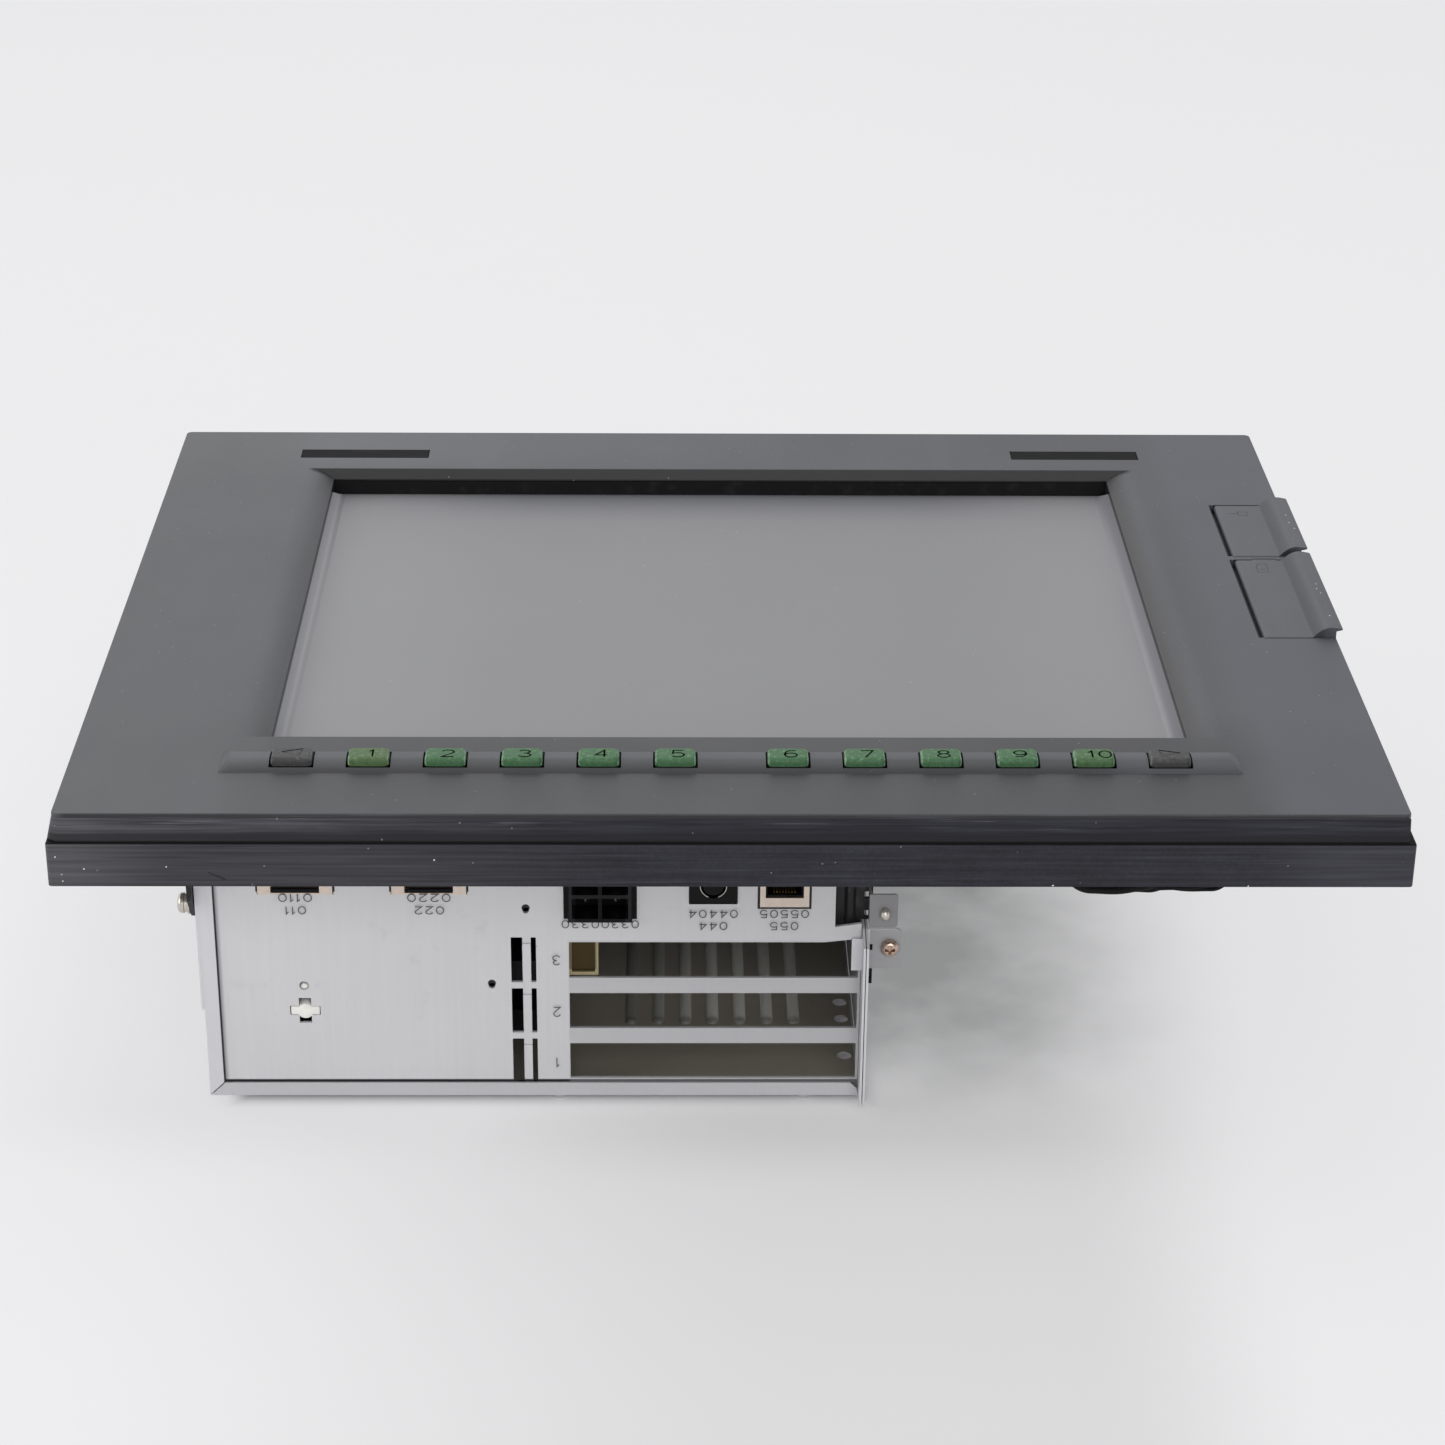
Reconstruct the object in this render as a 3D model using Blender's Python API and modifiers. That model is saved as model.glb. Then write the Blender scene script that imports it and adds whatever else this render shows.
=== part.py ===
"""A machine tool operator panel with its computer case, lying face up on the case.

X runs to the right, Y away from the operator's edge of the panel and Z up from the table.
The origin is on the table, under the middle of the panel. All sizes are in metres.
"""
import bpy
import bmesh
from math import cos, sin, pi, radians, sqrt
from mathutils import Matrix, Vector

# Clearances and working allowances shared by every piece
GAP = 0.0003
OVERRUN = 0.0020
OVERLAP = 0.0005
WELD = 0.000005
SHEET = 0.0008
ROUND_SIDES = 16
SMALL_SIDES = 12
ARC_STEPS = 4

# Window in the bezel, its strips of bezel and its dished rim
WINDOW_WIDTH = 0.3114
WINDOW_HEIGHT = 0.2403
SIDE_STRIP = 0.0643
KEY_STRIP = 0.0587
LABEL_STRIP = 0.0430
SIDE_DISH = 0.0118
END_DISH = 0.0024
DISH_DEPTH = 0.0037
DISH_STEPS = 6

# Bezel shell
BEZEL_THICK = 0.0096
BEZEL_ROOF = 0.0043
BEZEL_WALL = 0.0060
BEZEL_CORNER = 0.0022
BEZEL_EDGE = 0.0005

# Mounting frame, the step between it and the bezel, and the seal in that step
FRAME_OVERHANG = 0.0022
FRAME_THICK = 0.0152
FRAME_CORNER = 0.0014
FRAME_EDGE = 0.0003
STEP_GAP = 0.0006
SEAL_GAP = 0.0001
SEAL_SHOW = 0.0018
SEAL_COVER = 0.0052

# Display stack under the window
GASKET_WIDTH = 0.0070
GASKET_THICK = 0.0055
GLASS_OVERLAP = 0.0090
GLASS_THICK = 0.0030
GLASS_CLEARANCE = 0.0004
LCD_OVERLAP = 0.0070
LCD_THICK = 0.0110
LCD_RECESS = 0.0008
LCD_RIM = 0.0100

# Label strips beyond the window
LABEL_WIDTH = 0.0513
LABEL_HEIGHT = 0.0085
LABEL_THICK = 0.0005
LABEL_GAP = 0.0118
LABEL_FROM_MIDDLE = 0.14445

# Key bar and keys
BAR_INSET = 0.0291
BAR_LENGTH = 0.3394
BAR_WIDTH = 0.0154
BAR_RISE = 0.0028
BAR_END_RUN = 0.0038
BAR_STEPS = 10
KEYS_PER_GROUP = 6
KEY_PITCH = 0.0254
KEY_GROUP_GAP = 0.0374
KEY_FROM_BAR_FOOT = 0.0066
KEY_WIDTH = 0.0136
KEY_DEPTH = 0.0086
KEY_RISE = 0.0043
KEY_ROUND = 0.0008
KEY_CLEARANCE = 0.0006
KEY_FLANGE = 0.0012
KEY_FLANGE_THICK = 0.0010
KEY_TRAVEL = 0.0018
MAT_THICK = 0.0012
KEY_BOARD_WIDTH = 0.0200
KEY_BOARD_THICK = 0.0016
KEY_BOARD_MARGIN = 0.0100

# Port covers at the right edge, their hinges and their wave-shaped grips
COVER_REACH = 0.0281
COVER_THICK = 0.0022
COVER_END_GAP = 0.0004
CARD_COVER_START = 0.1384
CARD_COVER_LENGTH = 0.0714
COVER_SPACING = 0.0033
USB_COVER_LENGTH = 0.0512
HINGE_INSET = 0.0034
BARREL_RADIUS = 0.0015
PIN_RADIUS = 0.00075
PIN_CLEARANCE = 0.0001
PIN_HOLD = 0.0013
WAVE_LENGTH = 0.0100
WAVE_RUN = 0.0074
WAVE_RISE = 0.0048
LIP_FALL = 0.0006
LIP_THICK = 0.0009
LIP_ROOT_FALL = 0.0021
WAVE_STEPS = 8
LIP_STEPS = 3

# Ports under the covers
HOUSING_WIDTH = 0.0170
HOUSING_DEPTH = 0.0185
HOUSING_MARGIN = 0.0036
PORT_RIM = 0.0015
USB_LENGTH = 0.0132
USB_WIDTH = 0.0058
USB_DEPTH = 0.0120
USB_WALL = 0.0004
USB_TONGUE = 0.0018
CARD_LENGTH = 0.0590
CARD_WIDTH = 0.0092
CARD_DEPTH = 0.0165
CARD_MOUTH_LENGTH = 0.0546
CARD_MOUTH_WIDTH = 0.0052
CARD_FLOOR = 0.0015
CARD_FROM_COVER_END = 0.0045
EJECT_LENGTH = 0.0045
EJECT_WIDTH = 0.0050
EJECT_HEIGHT = 0.0075
EJECT_RISE = 0.0011
EJECT_TRAVEL = 0.0030
EJECT_FROM_CARD = 0.0030
EJECT_ROUND = 0.0005

# Rear tray behind the display
TRAY_INSET = 0.0352
TRAY_DEPTH = 0.0140
TRAY_BED_DEPTH = 0.0036
TRAY_SHEET = 0.0012
TRAY_FLANGE = 0.0080
TRAY_SCREW_RADIUS = 0.0030
TRAY_SCREW_HEIGHT = 0.0018

# Backlight inverter in the tray
INVERTER_LENGTH = 0.1500
INVERTER_WIDTH = 0.0320
INVERTER_BOARD = 0.0016
INVERTER_POST = 0.0040
INVERTER_POST_RADIUS = 0.0025
INVERTER_COIL_LENGTH = 0.0300
INVERTER_COIL_WIDTH = 0.0180
INVERTER_COIL_HEIGHT = 0.0050

# Computer case on the tray
CASE_DEPTH = 0.1114
CASE_INSET = 0.0480
CASE_LEFT_INSET = 0.04005
CASE_WIDTH = 0.23015
CASE_LENGTH = 0.2580
FOLD_WIDTH = 0.0050
FOLD_CLIP = 0.0025
SEAM_FLANGE = 0.0100
LEDGE_REACH = 0.0088
LEDGE_SLOPE = 0.0030
NOTCH_DROP = 0.0294
NOTCH_WIDTH = 0.0114
NOTCH_RISE = 0.0014
NOTCH_BACK = 0.0140

# Screw heads that the panel lies on
HEAD_RADIUS = 0.0040
HEAD_HEIGHT = 0.0030
HEAD_DOME_SHARE = 0.72
HEAD_FROM_FRONT = 0.0060
HEAD_FROM_SIDE = 0.0170
HEAD_LEFT_FROM_FRONT = 0.0640
HEAD_FIRST_FROM_LEFT = 0.1227
HEAD_LAST_FROM_RIGHT = 0.0209

# Vents and round holes in the rear cover
VENT_COUNT = 7
VENT_PITCH = 0.0099
VENT_WIDTH = 0.0042
VENT_LENGTH = 0.0900
VENT_FROM_FRONT = 0.0470
VENT_FROM_RIGHT = 0.0230
COVER_HOLE_RADIUS = 0.00265
COVER_HOLE_FROM_RIGHT = 0.0055
COVER_HOLES_FROM_FRONT = (0.0253, 0.0510, 0.0627)

# Connector plate: card slots, tang holes and small holes
PLATE_THICK = 0.0012
SLOT_COUNT = 3
SLOT_PITCH = 0.02033
SLOT_SHARE = 0.4358
SLOT_HEIGHT = 0.0142
SLOT_BEND_SHARE = 0.12
SLOT_FIRST_RISE = 0.0065
SLOT_END_LINK = 0.0008
TANG_HEIGHT = 0.0179
TANG_DROP = 0.0018
TANG_WIDE = 0.0040
TANG_BRIDGE = 0.0029
TANG_NARROW = 0.0018
TANG_FROM_SLOT = 0.0114
BRIDGE_RISE = 0.0008
BRIDGE_FOOT = 0.0022
SMALL_HOLE_RADIUS = 0.0012
UPPER_HOLE_SHARE = 0.4872
UPPER_HOLE_DROP = 0.0229
LOWER_HOLE_SHARE = 0.4342
LOWER_HOLE_DROP = 0.0528
CROSS_SHARE = 0.1510
CROSS_HOLE_RADIUS = 0.0015
CROSS_HOLE_DROP = 0.0526
CROSS_DROP = 0.0628
CROSS_LONG = 0.0106
CROSS_TALL = 0.0100
CROSS_ARM = 0.0036
CROSS_STEM = 0.0043

# Connectors on the mainboard
BOARD_THICK = 0.0016
BOARD_DROP = 0.0040
BOARD_POST_RADIUS = 0.0030
BOARD_POST_INSET = 0.0140
BOARD_LENGTH = 0.2000
CHIP_SIDE = 0.0220
CHIP_HEIGHT = 0.0025
CHIP_PITCH = 0.0320
CHIP_COUNT = 3
SHELL_WIDTH = 0.0256
SHELL_HEIGHT = 0.0105
SHELL_CORE_WIDTH = 0.0167
SHELL_CORE_DEPTH = 0.0030
SHELL_STAND = 0.0006
SERIAL_LEFT_SHARE = 0.1449
SERIAL_RIGHT_SHARE = 0.3438
POWER_WIDTH = 0.0247
POWER_HEIGHT = 0.0201
POWER_STAND = 0.0003
POWER_FRONT_WIDTH = 0.0221
POWER_REACH = 0.0030
POWER_WALL = 0.0014
POWER_POCKET = 0.0100
POWER_SHARE = 0.5986
KEYBOARD_WIDTH = 0.0162
KEYBOARD_HEIGHT = 0.0141
KEYBOARD_RING = 0.0048
KEYBOARD_CORE = 0.0036
KEYBOARD_POCKET = 0.0060
KEYBOARD_STAND = 0.0008
KEYBOARD_SHARE = 0.7675
NETWORK_WIDTH = 0.0169
NETWORK_HEIGHT = 0.0152
NETWORK_HOLE_WIDTH = 0.0131
NETWORK_HOLE_HEIGHT = 0.0085
NETWORK_HOLE_RISE = 0.0035
NETWORK_POCKET = 0.0100
NETWORK_STAND = 0.0008
NETWORK_SHARE = 0.8740
CONNECTOR_DEPTH = 0.0140

# Riser board with its card connectors
RISER_FROM_TANG = 0.0012
RISER_THICK = 0.0016
RISER_START = 0.0120
RISER_LENGTH = 0.1700
RISER_CLEAR_FLOOR = 0.0030
CARD_SOCKET_LENGTH = 0.0850
CARD_SOCKET_HEIGHT = 0.0086
CARD_SOCKET_REACH = 0.0090
CARD_SOCKET_START = 0.0260
CARD_SOCKET_GROOVE = 0.0018
CARD_SOCKET_GROOVE_DEPTH = 0.0060

# Amber guide behind the upper card slot
GUIDE_WIDTH = 0.0104
GUIDE_HEIGHT = 0.0151
GUIDE_DEPTH = 0.0150
GUIDE_WALL = 0.0012
GUIDE_RISE = 0.0012

# Heat sink and fan on the mainboard
SINK_SIDE = 0.0500
SINK_BASE = 0.0040
SINK_HEIGHT = 0.0200
FIN_COUNT = 11
FIN_THICK = 0.0012
SINK_FROM_RISER = 0.0080
SINK_FROM_FRONT = 0.1100
FAN_HEIGHT = 0.0100
FAN_BORE_RADIUS = 0.0232
FAN_HUB_RADIUS = 0.0100
FAN_TIP_CLEARANCE = 0.0008
FAN_FLOOR = 0.0020
STRUT_WIDTH = 0.0030
STRUT_COUNT = 3
BLADE_COUNT = 7
BLADE_THICK = 0.0010
BLADE_CHORD = 0.0095
BLADE_ANGLE = 32.0
SHAFT_RADIUS = 0.0015
SHAFT_LENGTH = 0.0030

# Disk unit and backup battery on the rear cover
DISK_WIDTH = 0.0700
DISK_LENGTH = 0.1000
DISK_HEIGHT = 0.0095
DISK_FROM_SIDE = 0.0100
DISK_FROM_BACK = 0.0120
DISK_LID_STEP = 0.0008
DISK_LID_MARGIN = 0.0040
BATTERY_RADIUS = 0.0085
BATTERY_LENGTH = 0.0330
BATTERY_CAP = 0.0015
BATTERY_FROM_SIDE = 0.0250
BATTERY_FROM_FRONT = 0.0700

# Card slot bracket, case tabs, side strap, side bracket and their screws
BRACKET_LENGTH = 0.0200
BRACKET_TAB_WIDTH = 0.0036
BRACKET_TAB_HEIGHT = 0.0125
BRACKET_TAB_TOP = 0.0041
SIDE_TAB_WIDTH = 0.0118
SIDE_TAB_HEIGHT = 0.0157
SIDE_TAB_TOP = 0.0003
SIDE_TAB_CORNER = 0.0022
TAB_SCREW_FROM_WALL = 0.0076
TAB_SCREW_DROP = 0.0071
UPPER_TAB_WIDTH = 0.0098
UPPER_TAB_HEIGHT = 0.0128
UPPER_TAB_CORNER = 0.0012
UPPER_SCREW_FROM_RIGHT = 0.0045
UPPER_SCREW_RISE = 0.0054
SCREW_RADIUS = 0.0031
SCREW_HEIGHT = 0.0024
UPPER_SCREW_RADIUS = 0.0026
LEAD_PLATE_WIDTH = 0.0128
LEAD_PLATE_SET = 0.0040
LEAD_PLATE_THICK = 0.0012
LEAD_PLATE_SINK = 0.0050
LEAD_RIB_RADIUS = 0.0019
LEAD_RIB_FROM_LEFT = 0.0050
LEAD_HOLE_WIDTH = 0.0015
LEAD_HOLE_HEIGHT = 0.0026
LEAD_HOLE_FROM_RIGHT = 0.0014
LEAD_HOLE_DROPS = (0.0182, 0.0256)
STRAP_LENGTH = 0.2400
STRAP_HEIGHT = 0.0620
HOOK_THICK = 0.0018
HOOK_BEFORE_CASE = 0.0030
HOOK_LENGTH = 0.0240
HOOK_HEIGHT = 0.0272
HOOK_SLANT_LENGTH = 0.0080
HOOK_SLANT_HEIGHT = 0.0100
SIDE_SCREW_RADIUS = 0.0029
SIDE_SCREW_HEIGHT = 0.0022
COLLAR_RADIUS = 0.0034
COLLAR_THICK = 0.0011
WASHER_RADIUS = 0.0039
WASHER_THICK = 0.0011
SIDE_SCREW_DROP = 0.0232
SIDE_SCREW_FROM_FRONT = 0.0070

# Cables under the right side, from grommet to grommet of the tray
GROMMET_RADIUS = 0.0065
GROMMET_BORE = 0.0040
GROMMET_HEIGHT = 0.0045
GROMMET_FROM_RIGHT = 0.0892
GROMMET_SPREAD = 0.0345
GROMMET_FROM_FRONT = 0.0120
CABLE_RADIUS = 0.0032
CABLE_DROP = 0.0108
CABLE_BEND = 0.0080
CABLE_SAG = 0.0006
THIN_RADIUS = 0.0016
THIN_DROP = 0.0080
THIN_BEND = 0.0060
THIN_SAG = 0.0004
THIN_SPREAD = 0.0280
THIN_BEFORE_GROMMET = 0.0090
THIN_SET = 0.0070
CABLE_TAIL = 0.0030
CABLE_STEPS = 8

# Places worked out from the sizes above
BEZEL_WIDTH = WINDOW_WIDTH + 2 * SIDE_STRIP
BEZEL_HEIGHT = KEY_STRIP + WINDOW_HEIGHT + LABEL_STRIP
NEAR = -BEZEL_HEIGHT / 2
FAR = BEZEL_HEIGHT / 2
RIGHT = BEZEL_WIDTH / 2
REST = 0
COVER_OUT = REST + HEAD_HEIGHT
FRAME_REAR = COVER_OUT + CASE_DEPTH
FRAME_TOP = FRAME_REAR + FRAME_THICK
BEZEL_REAR = FRAME_TOP + STEP_GAP
FACE = BEZEL_REAR + BEZEL_THICK
ROOF = FACE - BEZEL_ROOF
GASKET_TOP = ROOF - GAP
GLASS_TOP = GASKET_TOP - GASKET_THICK - GAP
GLASS_REAR = GLASS_TOP - GLASS_THICK
GLASS_LEDGE = GLASS_REAR - GAP
WINDOW_NEAR = NEAR + KEY_STRIP
WINDOW_FAR = WINDOW_NEAR + WINDOW_HEIGHT
WINDOW_RIGHT = WINDOW_WIDTH / 2
KEY_Y = NEAR + BAR_INSET + KEY_FROM_BAR_FOOT
KEY_TOP = FACE + KEY_RISE
KEY_FOOT = ROOF - GAP - KEY_FLANGE_THICK
MAT_TOP = KEY_FOOT - KEY_TRAVEL - GAP
KEY_BOARD_TOP = MAT_TOP - MAT_THICK - GAP
KEY_BOARD_REAR = KEY_BOARD_TOP - KEY_BOARD_THICK
RECESS_LEFT = RIGHT - COVER_REACH
RECESS_FLOOR = FACE - COVER_THICK - GAP
CARD_RECESS = (NEAR + CARD_COVER_START, NEAR + CARD_COVER_START + CARD_COVER_LENGTH)
USB_RECESS = (CARD_RECESS[1] + COVER_SPACING, CARD_RECESS[1] + COVER_SPACING + USB_COVER_LENGTH)
HINGE_X = RECESS_LEFT + HINGE_INSET
HINGE_Z = FACE - BARREL_RADIUS
BORE_RADIUS = PIN_RADIUS + PIN_CLEARANCE
HOUSING_RIGHT = RIGHT - BEZEL_WALL - GAP
HOUSING_LEFT = HOUSING_RIGHT - HOUSING_WIDTH
HOUSING_TOP = ROOF - GAP
HOUSING_REAR = HOUSING_TOP - HOUSING_DEPTH
PORT_X = (HOUSING_LEFT + HOUSING_RIGHT) / 2
USB_Y = (USB_RECESS[0] + USB_RECESS[1]) / 2
CARD_NEAR = CARD_RECESS[0] + CARD_FROM_COVER_END
CARD_FAR = CARD_NEAR + CARD_LENGTH
EJECT_NEAR = CARD_FAR + EJECT_FROM_CARD
EJECT_Y = EJECT_NEAR + EJECT_LENGTH / 2
FRAME_RIGHT = RIGHT + FRAME_OVERHANG
FRAME_NEAR = NEAR - FRAME_OVERHANG
FRAME_FAR = FAR + FRAME_OVERHANG
TRAY_RIGHT = FRAME_RIGHT - TRAY_INSET
TRAY_NEAR = FRAME_NEAR + TRAY_INSET
TRAY_FAR = FRAME_FAR - TRAY_INSET
TRAY_TOP = FRAME_REAR + TRAY_BED_DEPTH - GAP
TRAY_REAR = FRAME_REAR - GAP - TRAY_DEPTH
CASE_TOP = TRAY_REAR - GAP
CASE_LEFT = -FRAME_RIGHT + CASE_LEFT_INSET
CASE_RIGHT = CASE_LEFT + CASE_WIDTH
CASE_FRONT = NEAR + CASE_INSET
CASE_BACK = CASE_FRONT + CASE_LENGTH
COVER_IN = COVER_OUT + SHEET
WALL_FOOT = COVER_IN + GAP
PLATE_FRONT = CASE_FRONT + SHEET + GAP
PLATE_BACK = PLATE_FRONT + PLATE_THICK
PLATE_LEFT = CASE_LEFT + SHEET + GAP
BRACKET_RIGHT = CASE_RIGHT - SHEET - GAP
BRACKET_LEFT = BRACKET_RIGHT - SHEET
PLATE_RIGHT = BRACKET_LEFT - GAP
PLATE_TOP = CASE_TOP - GAP
NOTCH_FLOOR = CASE_TOP - NOTCH_DROP
SLOT_LENGTH = CASE_WIDTH * SLOT_SHARE
SLOT_RIGHT = PLATE_RIGHT - SLOT_END_LINK
SLOT_LEFT = SLOT_RIGHT - SLOT_LENGTH
SLOT_FLOORS = [COVER_OUT + SLOT_FIRST_RISE + SLOT_PITCH * i for i in range(SLOT_COUNT)]
TANG_RIGHT = SLOT_LEFT - TANG_FROM_SLOT
TANG_LEFT = TANG_RIGHT - TANG_NARROW - TANG_BRIDGE - TANG_WIDE
BOARD_TOP = CASE_TOP - BOARD_DROP
BOARD_REAR = BOARD_TOP - BOARD_THICK
CONNECTOR_TOP = BOARD_REAR - GAP
SINK_X = TANG_LEFT - RISER_FROM_TANG - RISER_THICK - SINK_FROM_RISER - SINK_SIDE / 2
SINK_Y = CASE_FRONT + SINK_FROM_FRONT
SINK_TOP = BOARD_REAR - GAP
SINK_FOOT = SINK_TOP - SINK_HEIGHT
FAN_TOP = SINK_FOOT - GAP
FAN_REAR = FAN_TOP - FAN_HEIGHT
STRAP_RIGHT = CASE_LEFT - GAP
STRAP_LEFT = STRAP_RIGHT - SHEET
HOOK_RIGHT = STRAP_LEFT - GAP
HOOK_LEFT = HOOK_RIGHT - HOOK_THICK
GROMMET_Y = TRAY_NEAR + GROMMET_FROM_FRONT

# Colours, roughness and metallic value of each finish
FINISHES = {
    "grey_paint": ((0.150, 0.155, 0.165), 0.50, 0.2),
    "frame_paint": ((0.090, 0.092, 0.100), 0.55, 0.2),
    "black_rubber": ((0.012, 0.012, 0.012), 0.75, 0.0),
    "matte_glass": ((0.300, 0.300, 0.310), 0.35, 0.0),
    "black_film": ((0.020, 0.020, 0.022), 0.40, 0.0),
    "green_key": ((0.070, 0.190, 0.095), 0.45, 0.0),
    "grey_key": ((0.130, 0.130, 0.130), 0.50, 0.0),
    "board": ((0.020, 0.120, 0.050), 0.50, 0.0),
    "zinc_sheet": ((0.560, 0.560, 0.570), 0.40, 0.6),
    "black_plastic": ((0.015, 0.015, 0.016), 0.45, 0.0),
    "black_steel": ((0.020, 0.020, 0.022), 0.45, 0.4),
    "bright_steel": ((0.620, 0.600, 0.560), 0.25, 1.0),
    "amber": ((0.130, 0.080, 0.015), 0.35, 0.0),
    "aluminium": ((0.600, 0.600, 0.620), 0.35, 1.0),
    "yellow_wrap": ((0.600, 0.450, 0.060), 0.45, 0.0),
}


def start_clean():
    """Removes what the scene holds and makes the two collections."""
    for thing in list(bpy.data.objects):
        bpy.data.objects.remove(thing, do_unlink=True)
    groups = {}
    for name in ("cnc_operator_panel", "cutters"):
        groups[name] = bpy.data.collections.new(name)
        bpy.context.scene.collection.children.link(groups[name])
    return groups


GROUPS = start_clean()


def finish(name):
    """The material of one finish, made once."""
    found = bpy.data.materials.get(name)
    if found:
        return found
    colour, roughness, metallic = FINISHES[name]
    made = bpy.data.materials.new(name)
    made.use_nodes = True
    shader = made.node_tree.nodes["Principled BSDF"]
    shader.inputs["Base Color"].default_value = (*colour, 1)
    shader.inputs["Roughness"].default_value = roughness
    shader.inputs["Metallic"].default_value = metallic
    return made


def placed(name, mesh, finish_name=None, origin=(0, 0, 0)):
    """An object of a mesh given in world places, with its origin put where asked."""
    mesh.transform(Matrix.Translation(-Vector(origin)))
    thing = bpy.data.objects.new(name, mesh)
    thing.location = origin
    GROUPS["cnc_operator_panel"].objects.link(thing)
    if finish_name:
        mesh.materials.append(finish(finish_name))
    return thing


def from_bmesh(name, shape):
    """A mesh from a bmesh, which is freed."""
    mesh = bpy.data.meshes.new(name)
    shape.to_mesh(mesh)
    shape.free()
    return mesh


def block_matrix(low, high):
    """The matrix that takes a unit cube to a block between two corners."""
    low, high = Vector(low), Vector(high)
    return Matrix.Translation((low + high) / 2) @ Matrix.Diagonal((*(high - low), 1))


def blocks(name, corners, finish_name=None, origin=(0, 0, 0)):
    """One object of a block for each pair of corners."""
    shape = bmesh.new()
    for low, high in corners:
        bmesh.ops.create_cube(shape, size=1, matrix=block_matrix(low, high))
    return placed(name, from_bmesh(name, shape), finish_name, origin)


def block(name, low, high, finish_name=None, origin=(0, 0, 0)):
    """A plain block between two corners."""
    return blocks(name, [(low, high)], finish_name, origin)


def soft_block(name, low, high, corner, edge, finish_name=None, origin=(0, 0, 0)):
    """A block with rounded upright edges and a rounded top rim."""
    shape = bmesh.new()
    bmesh.ops.create_cube(shape, size=1, matrix=block_matrix(low, high))
    upright = [e for e in shape.edges if e.verts[0].co.xy == e.verts[1].co.xy]
    bmesh.ops.bevel(shape, geom=upright, offset=corner, segments=ARC_STEPS, profile=0.5, affect="EDGES")
    top = max(v.co.z for v in shape.verts)
    rim = [e for e in shape.edges if all(v.co.z > top - WELD for v in e.verts)]
    bmesh.ops.bevel(shape, geom=rim, offset=edge, segments=2, profile=0.5, affect="EDGES")
    return placed(name, from_bmesh(name, shape), finish_name, origin)


def turn_to(axis):
    """Takes a shape made along Z so that it lies along an axis."""
    if axis == "X":
        return Matrix(((0, 0, 1, 0), (1, 0, 0, 0), (0, 1, 0, 0), (0, 0, 0, 1)))
    if axis == "Y":
        return Matrix.Rotation(pi / 2, 4, "X")
    return Matrix.Identity(4)


def rods(name, centres, radius, length, axis, finish_name=None, sides=ROUND_SIDES, tip=0):
    """One object of a round rod about each centre. A tip radius tapers the rod's far end."""
    shape = bmesh.new()
    for centre in centres:
        bmesh.ops.create_cone(
            shape, cap_ends=True, segments=sides, radius1=radius, radius2=tip or radius,
            depth=length, matrix=Matrix.Translation(centre) @ turn_to(axis),
        )
    return placed(name, from_bmesh(name, shape), finish_name)


def prism(name, outline, low, high, axis, finish_name=None, origin=(0, 0, 0)):
    """A flat outline pushed from low to high: (y, z) pairs along X, (x, z) along Y, (x, y) along Z."""
    curve = bpy.data.curves.new(name, "CURVE")
    curve.dimensions = "2D"
    curve.fill_mode = "BOTH"
    curve.extrude = (high - low) / 2
    spline = curve.splines.new("POLY")
    spline.points.add(len(outline) - 1)
    for point, (u, v) in zip(spline.points, outline):
        point.co = (u, v, 0, 1)
    spline.use_cyclic_u = True
    mesh = mesh_of_curve(name, curve)
    middle = Vector({"X": (1, 0, 0), "Y": (0, 1, 0), "Z": (0, 0, 1)}[axis]) * (low + high) / 2
    mesh.transform(Matrix.Translation(middle) @ turn_to(axis))
    return placed(name, mesh, finish_name, origin)


def mesh_of_curve(name, curve):
    """A closed mesh of a curve, its caps welded to its sides."""
    holder = bpy.data.objects.new(name + "_curve", curve)
    GROUPS["cnc_operator_panel"].objects.link(holder)
    seen = holder.evaluated_get(bpy.context.evaluated_depsgraph_get())
    mesh = bpy.data.meshes.new_from_object(seen)
    bpy.data.objects.remove(holder, do_unlink=True)
    bpy.data.curves.remove(curve)
    shape = bmesh.new()
    shape.from_mesh(mesh)
    bmesh.ops.remove_doubles(shape, verts=shape.verts, dist=WELD)
    bmesh.ops.recalc_face_normals(shape, faces=shape.faces)
    shape.to_mesh(mesh)
    shape.free()
    mesh.name = name
    return mesh


def turned(name, profile, centre, axis, finish_name=None, sides=ROUND_SIDES):
    """A turned shape: a profile of (radius, height) pairs, top to bottom, spun about its axis."""
    mesh = bpy.data.meshes.new(name)
    points = [(radius, 0, height) for radius, height in profile]
    mesh.from_pydata(points, [(i, i + 1) for i in range(len(points) - 1)], [])
    spun = bpy.data.objects.new(name + "_profile", mesh)
    GROUPS["cnc_operator_panel"].objects.link(spun)
    screw = spun.modifiers.new("turn", "SCREW")
    screw.steps = sides
    screw.render_steps = sides
    screw.use_merge_vertices = True
    screw.merge_threshold = WELD
    solid = bpy.data.meshes.new_from_object(spun.evaluated_get(bpy.context.evaluated_depsgraph_get()))
    bpy.data.objects.remove(spun, do_unlink=True)
    shape = bmesh.new()
    shape.from_mesh(solid)
    bmesh.ops.remove_doubles(shape, verts=shape.verts, dist=WELD)
    bmesh.ops.recalc_face_normals(shape, faces=shape.faces)
    shape.to_mesh(solid)
    shape.free()
    solid.transform(Matrix.Translation(centre) @ turn_to(axis))
    return placed(name, solid, finish_name)


def work(target, tool, operation):
    """Cuts, joins or crosses a piece with a tool, which is then hidden."""
    step = target.modifiers.new(tool.name, "BOOLEAN")
    step.operation = operation
    step.object = tool
    step.solver = "EXACT"
    GROUPS["cnc_operator_panel"].objects.unlink(tool)
    GROUPS["cutters"].objects.link(tool)
    tool.hide_render = True
    tool.display_type = "WIRE"
    return target


def cut(target, tool):
    return work(target, tool, "DIFFERENCE")


def join(target, tool):
    return work(target, tool, "UNION")


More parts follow.
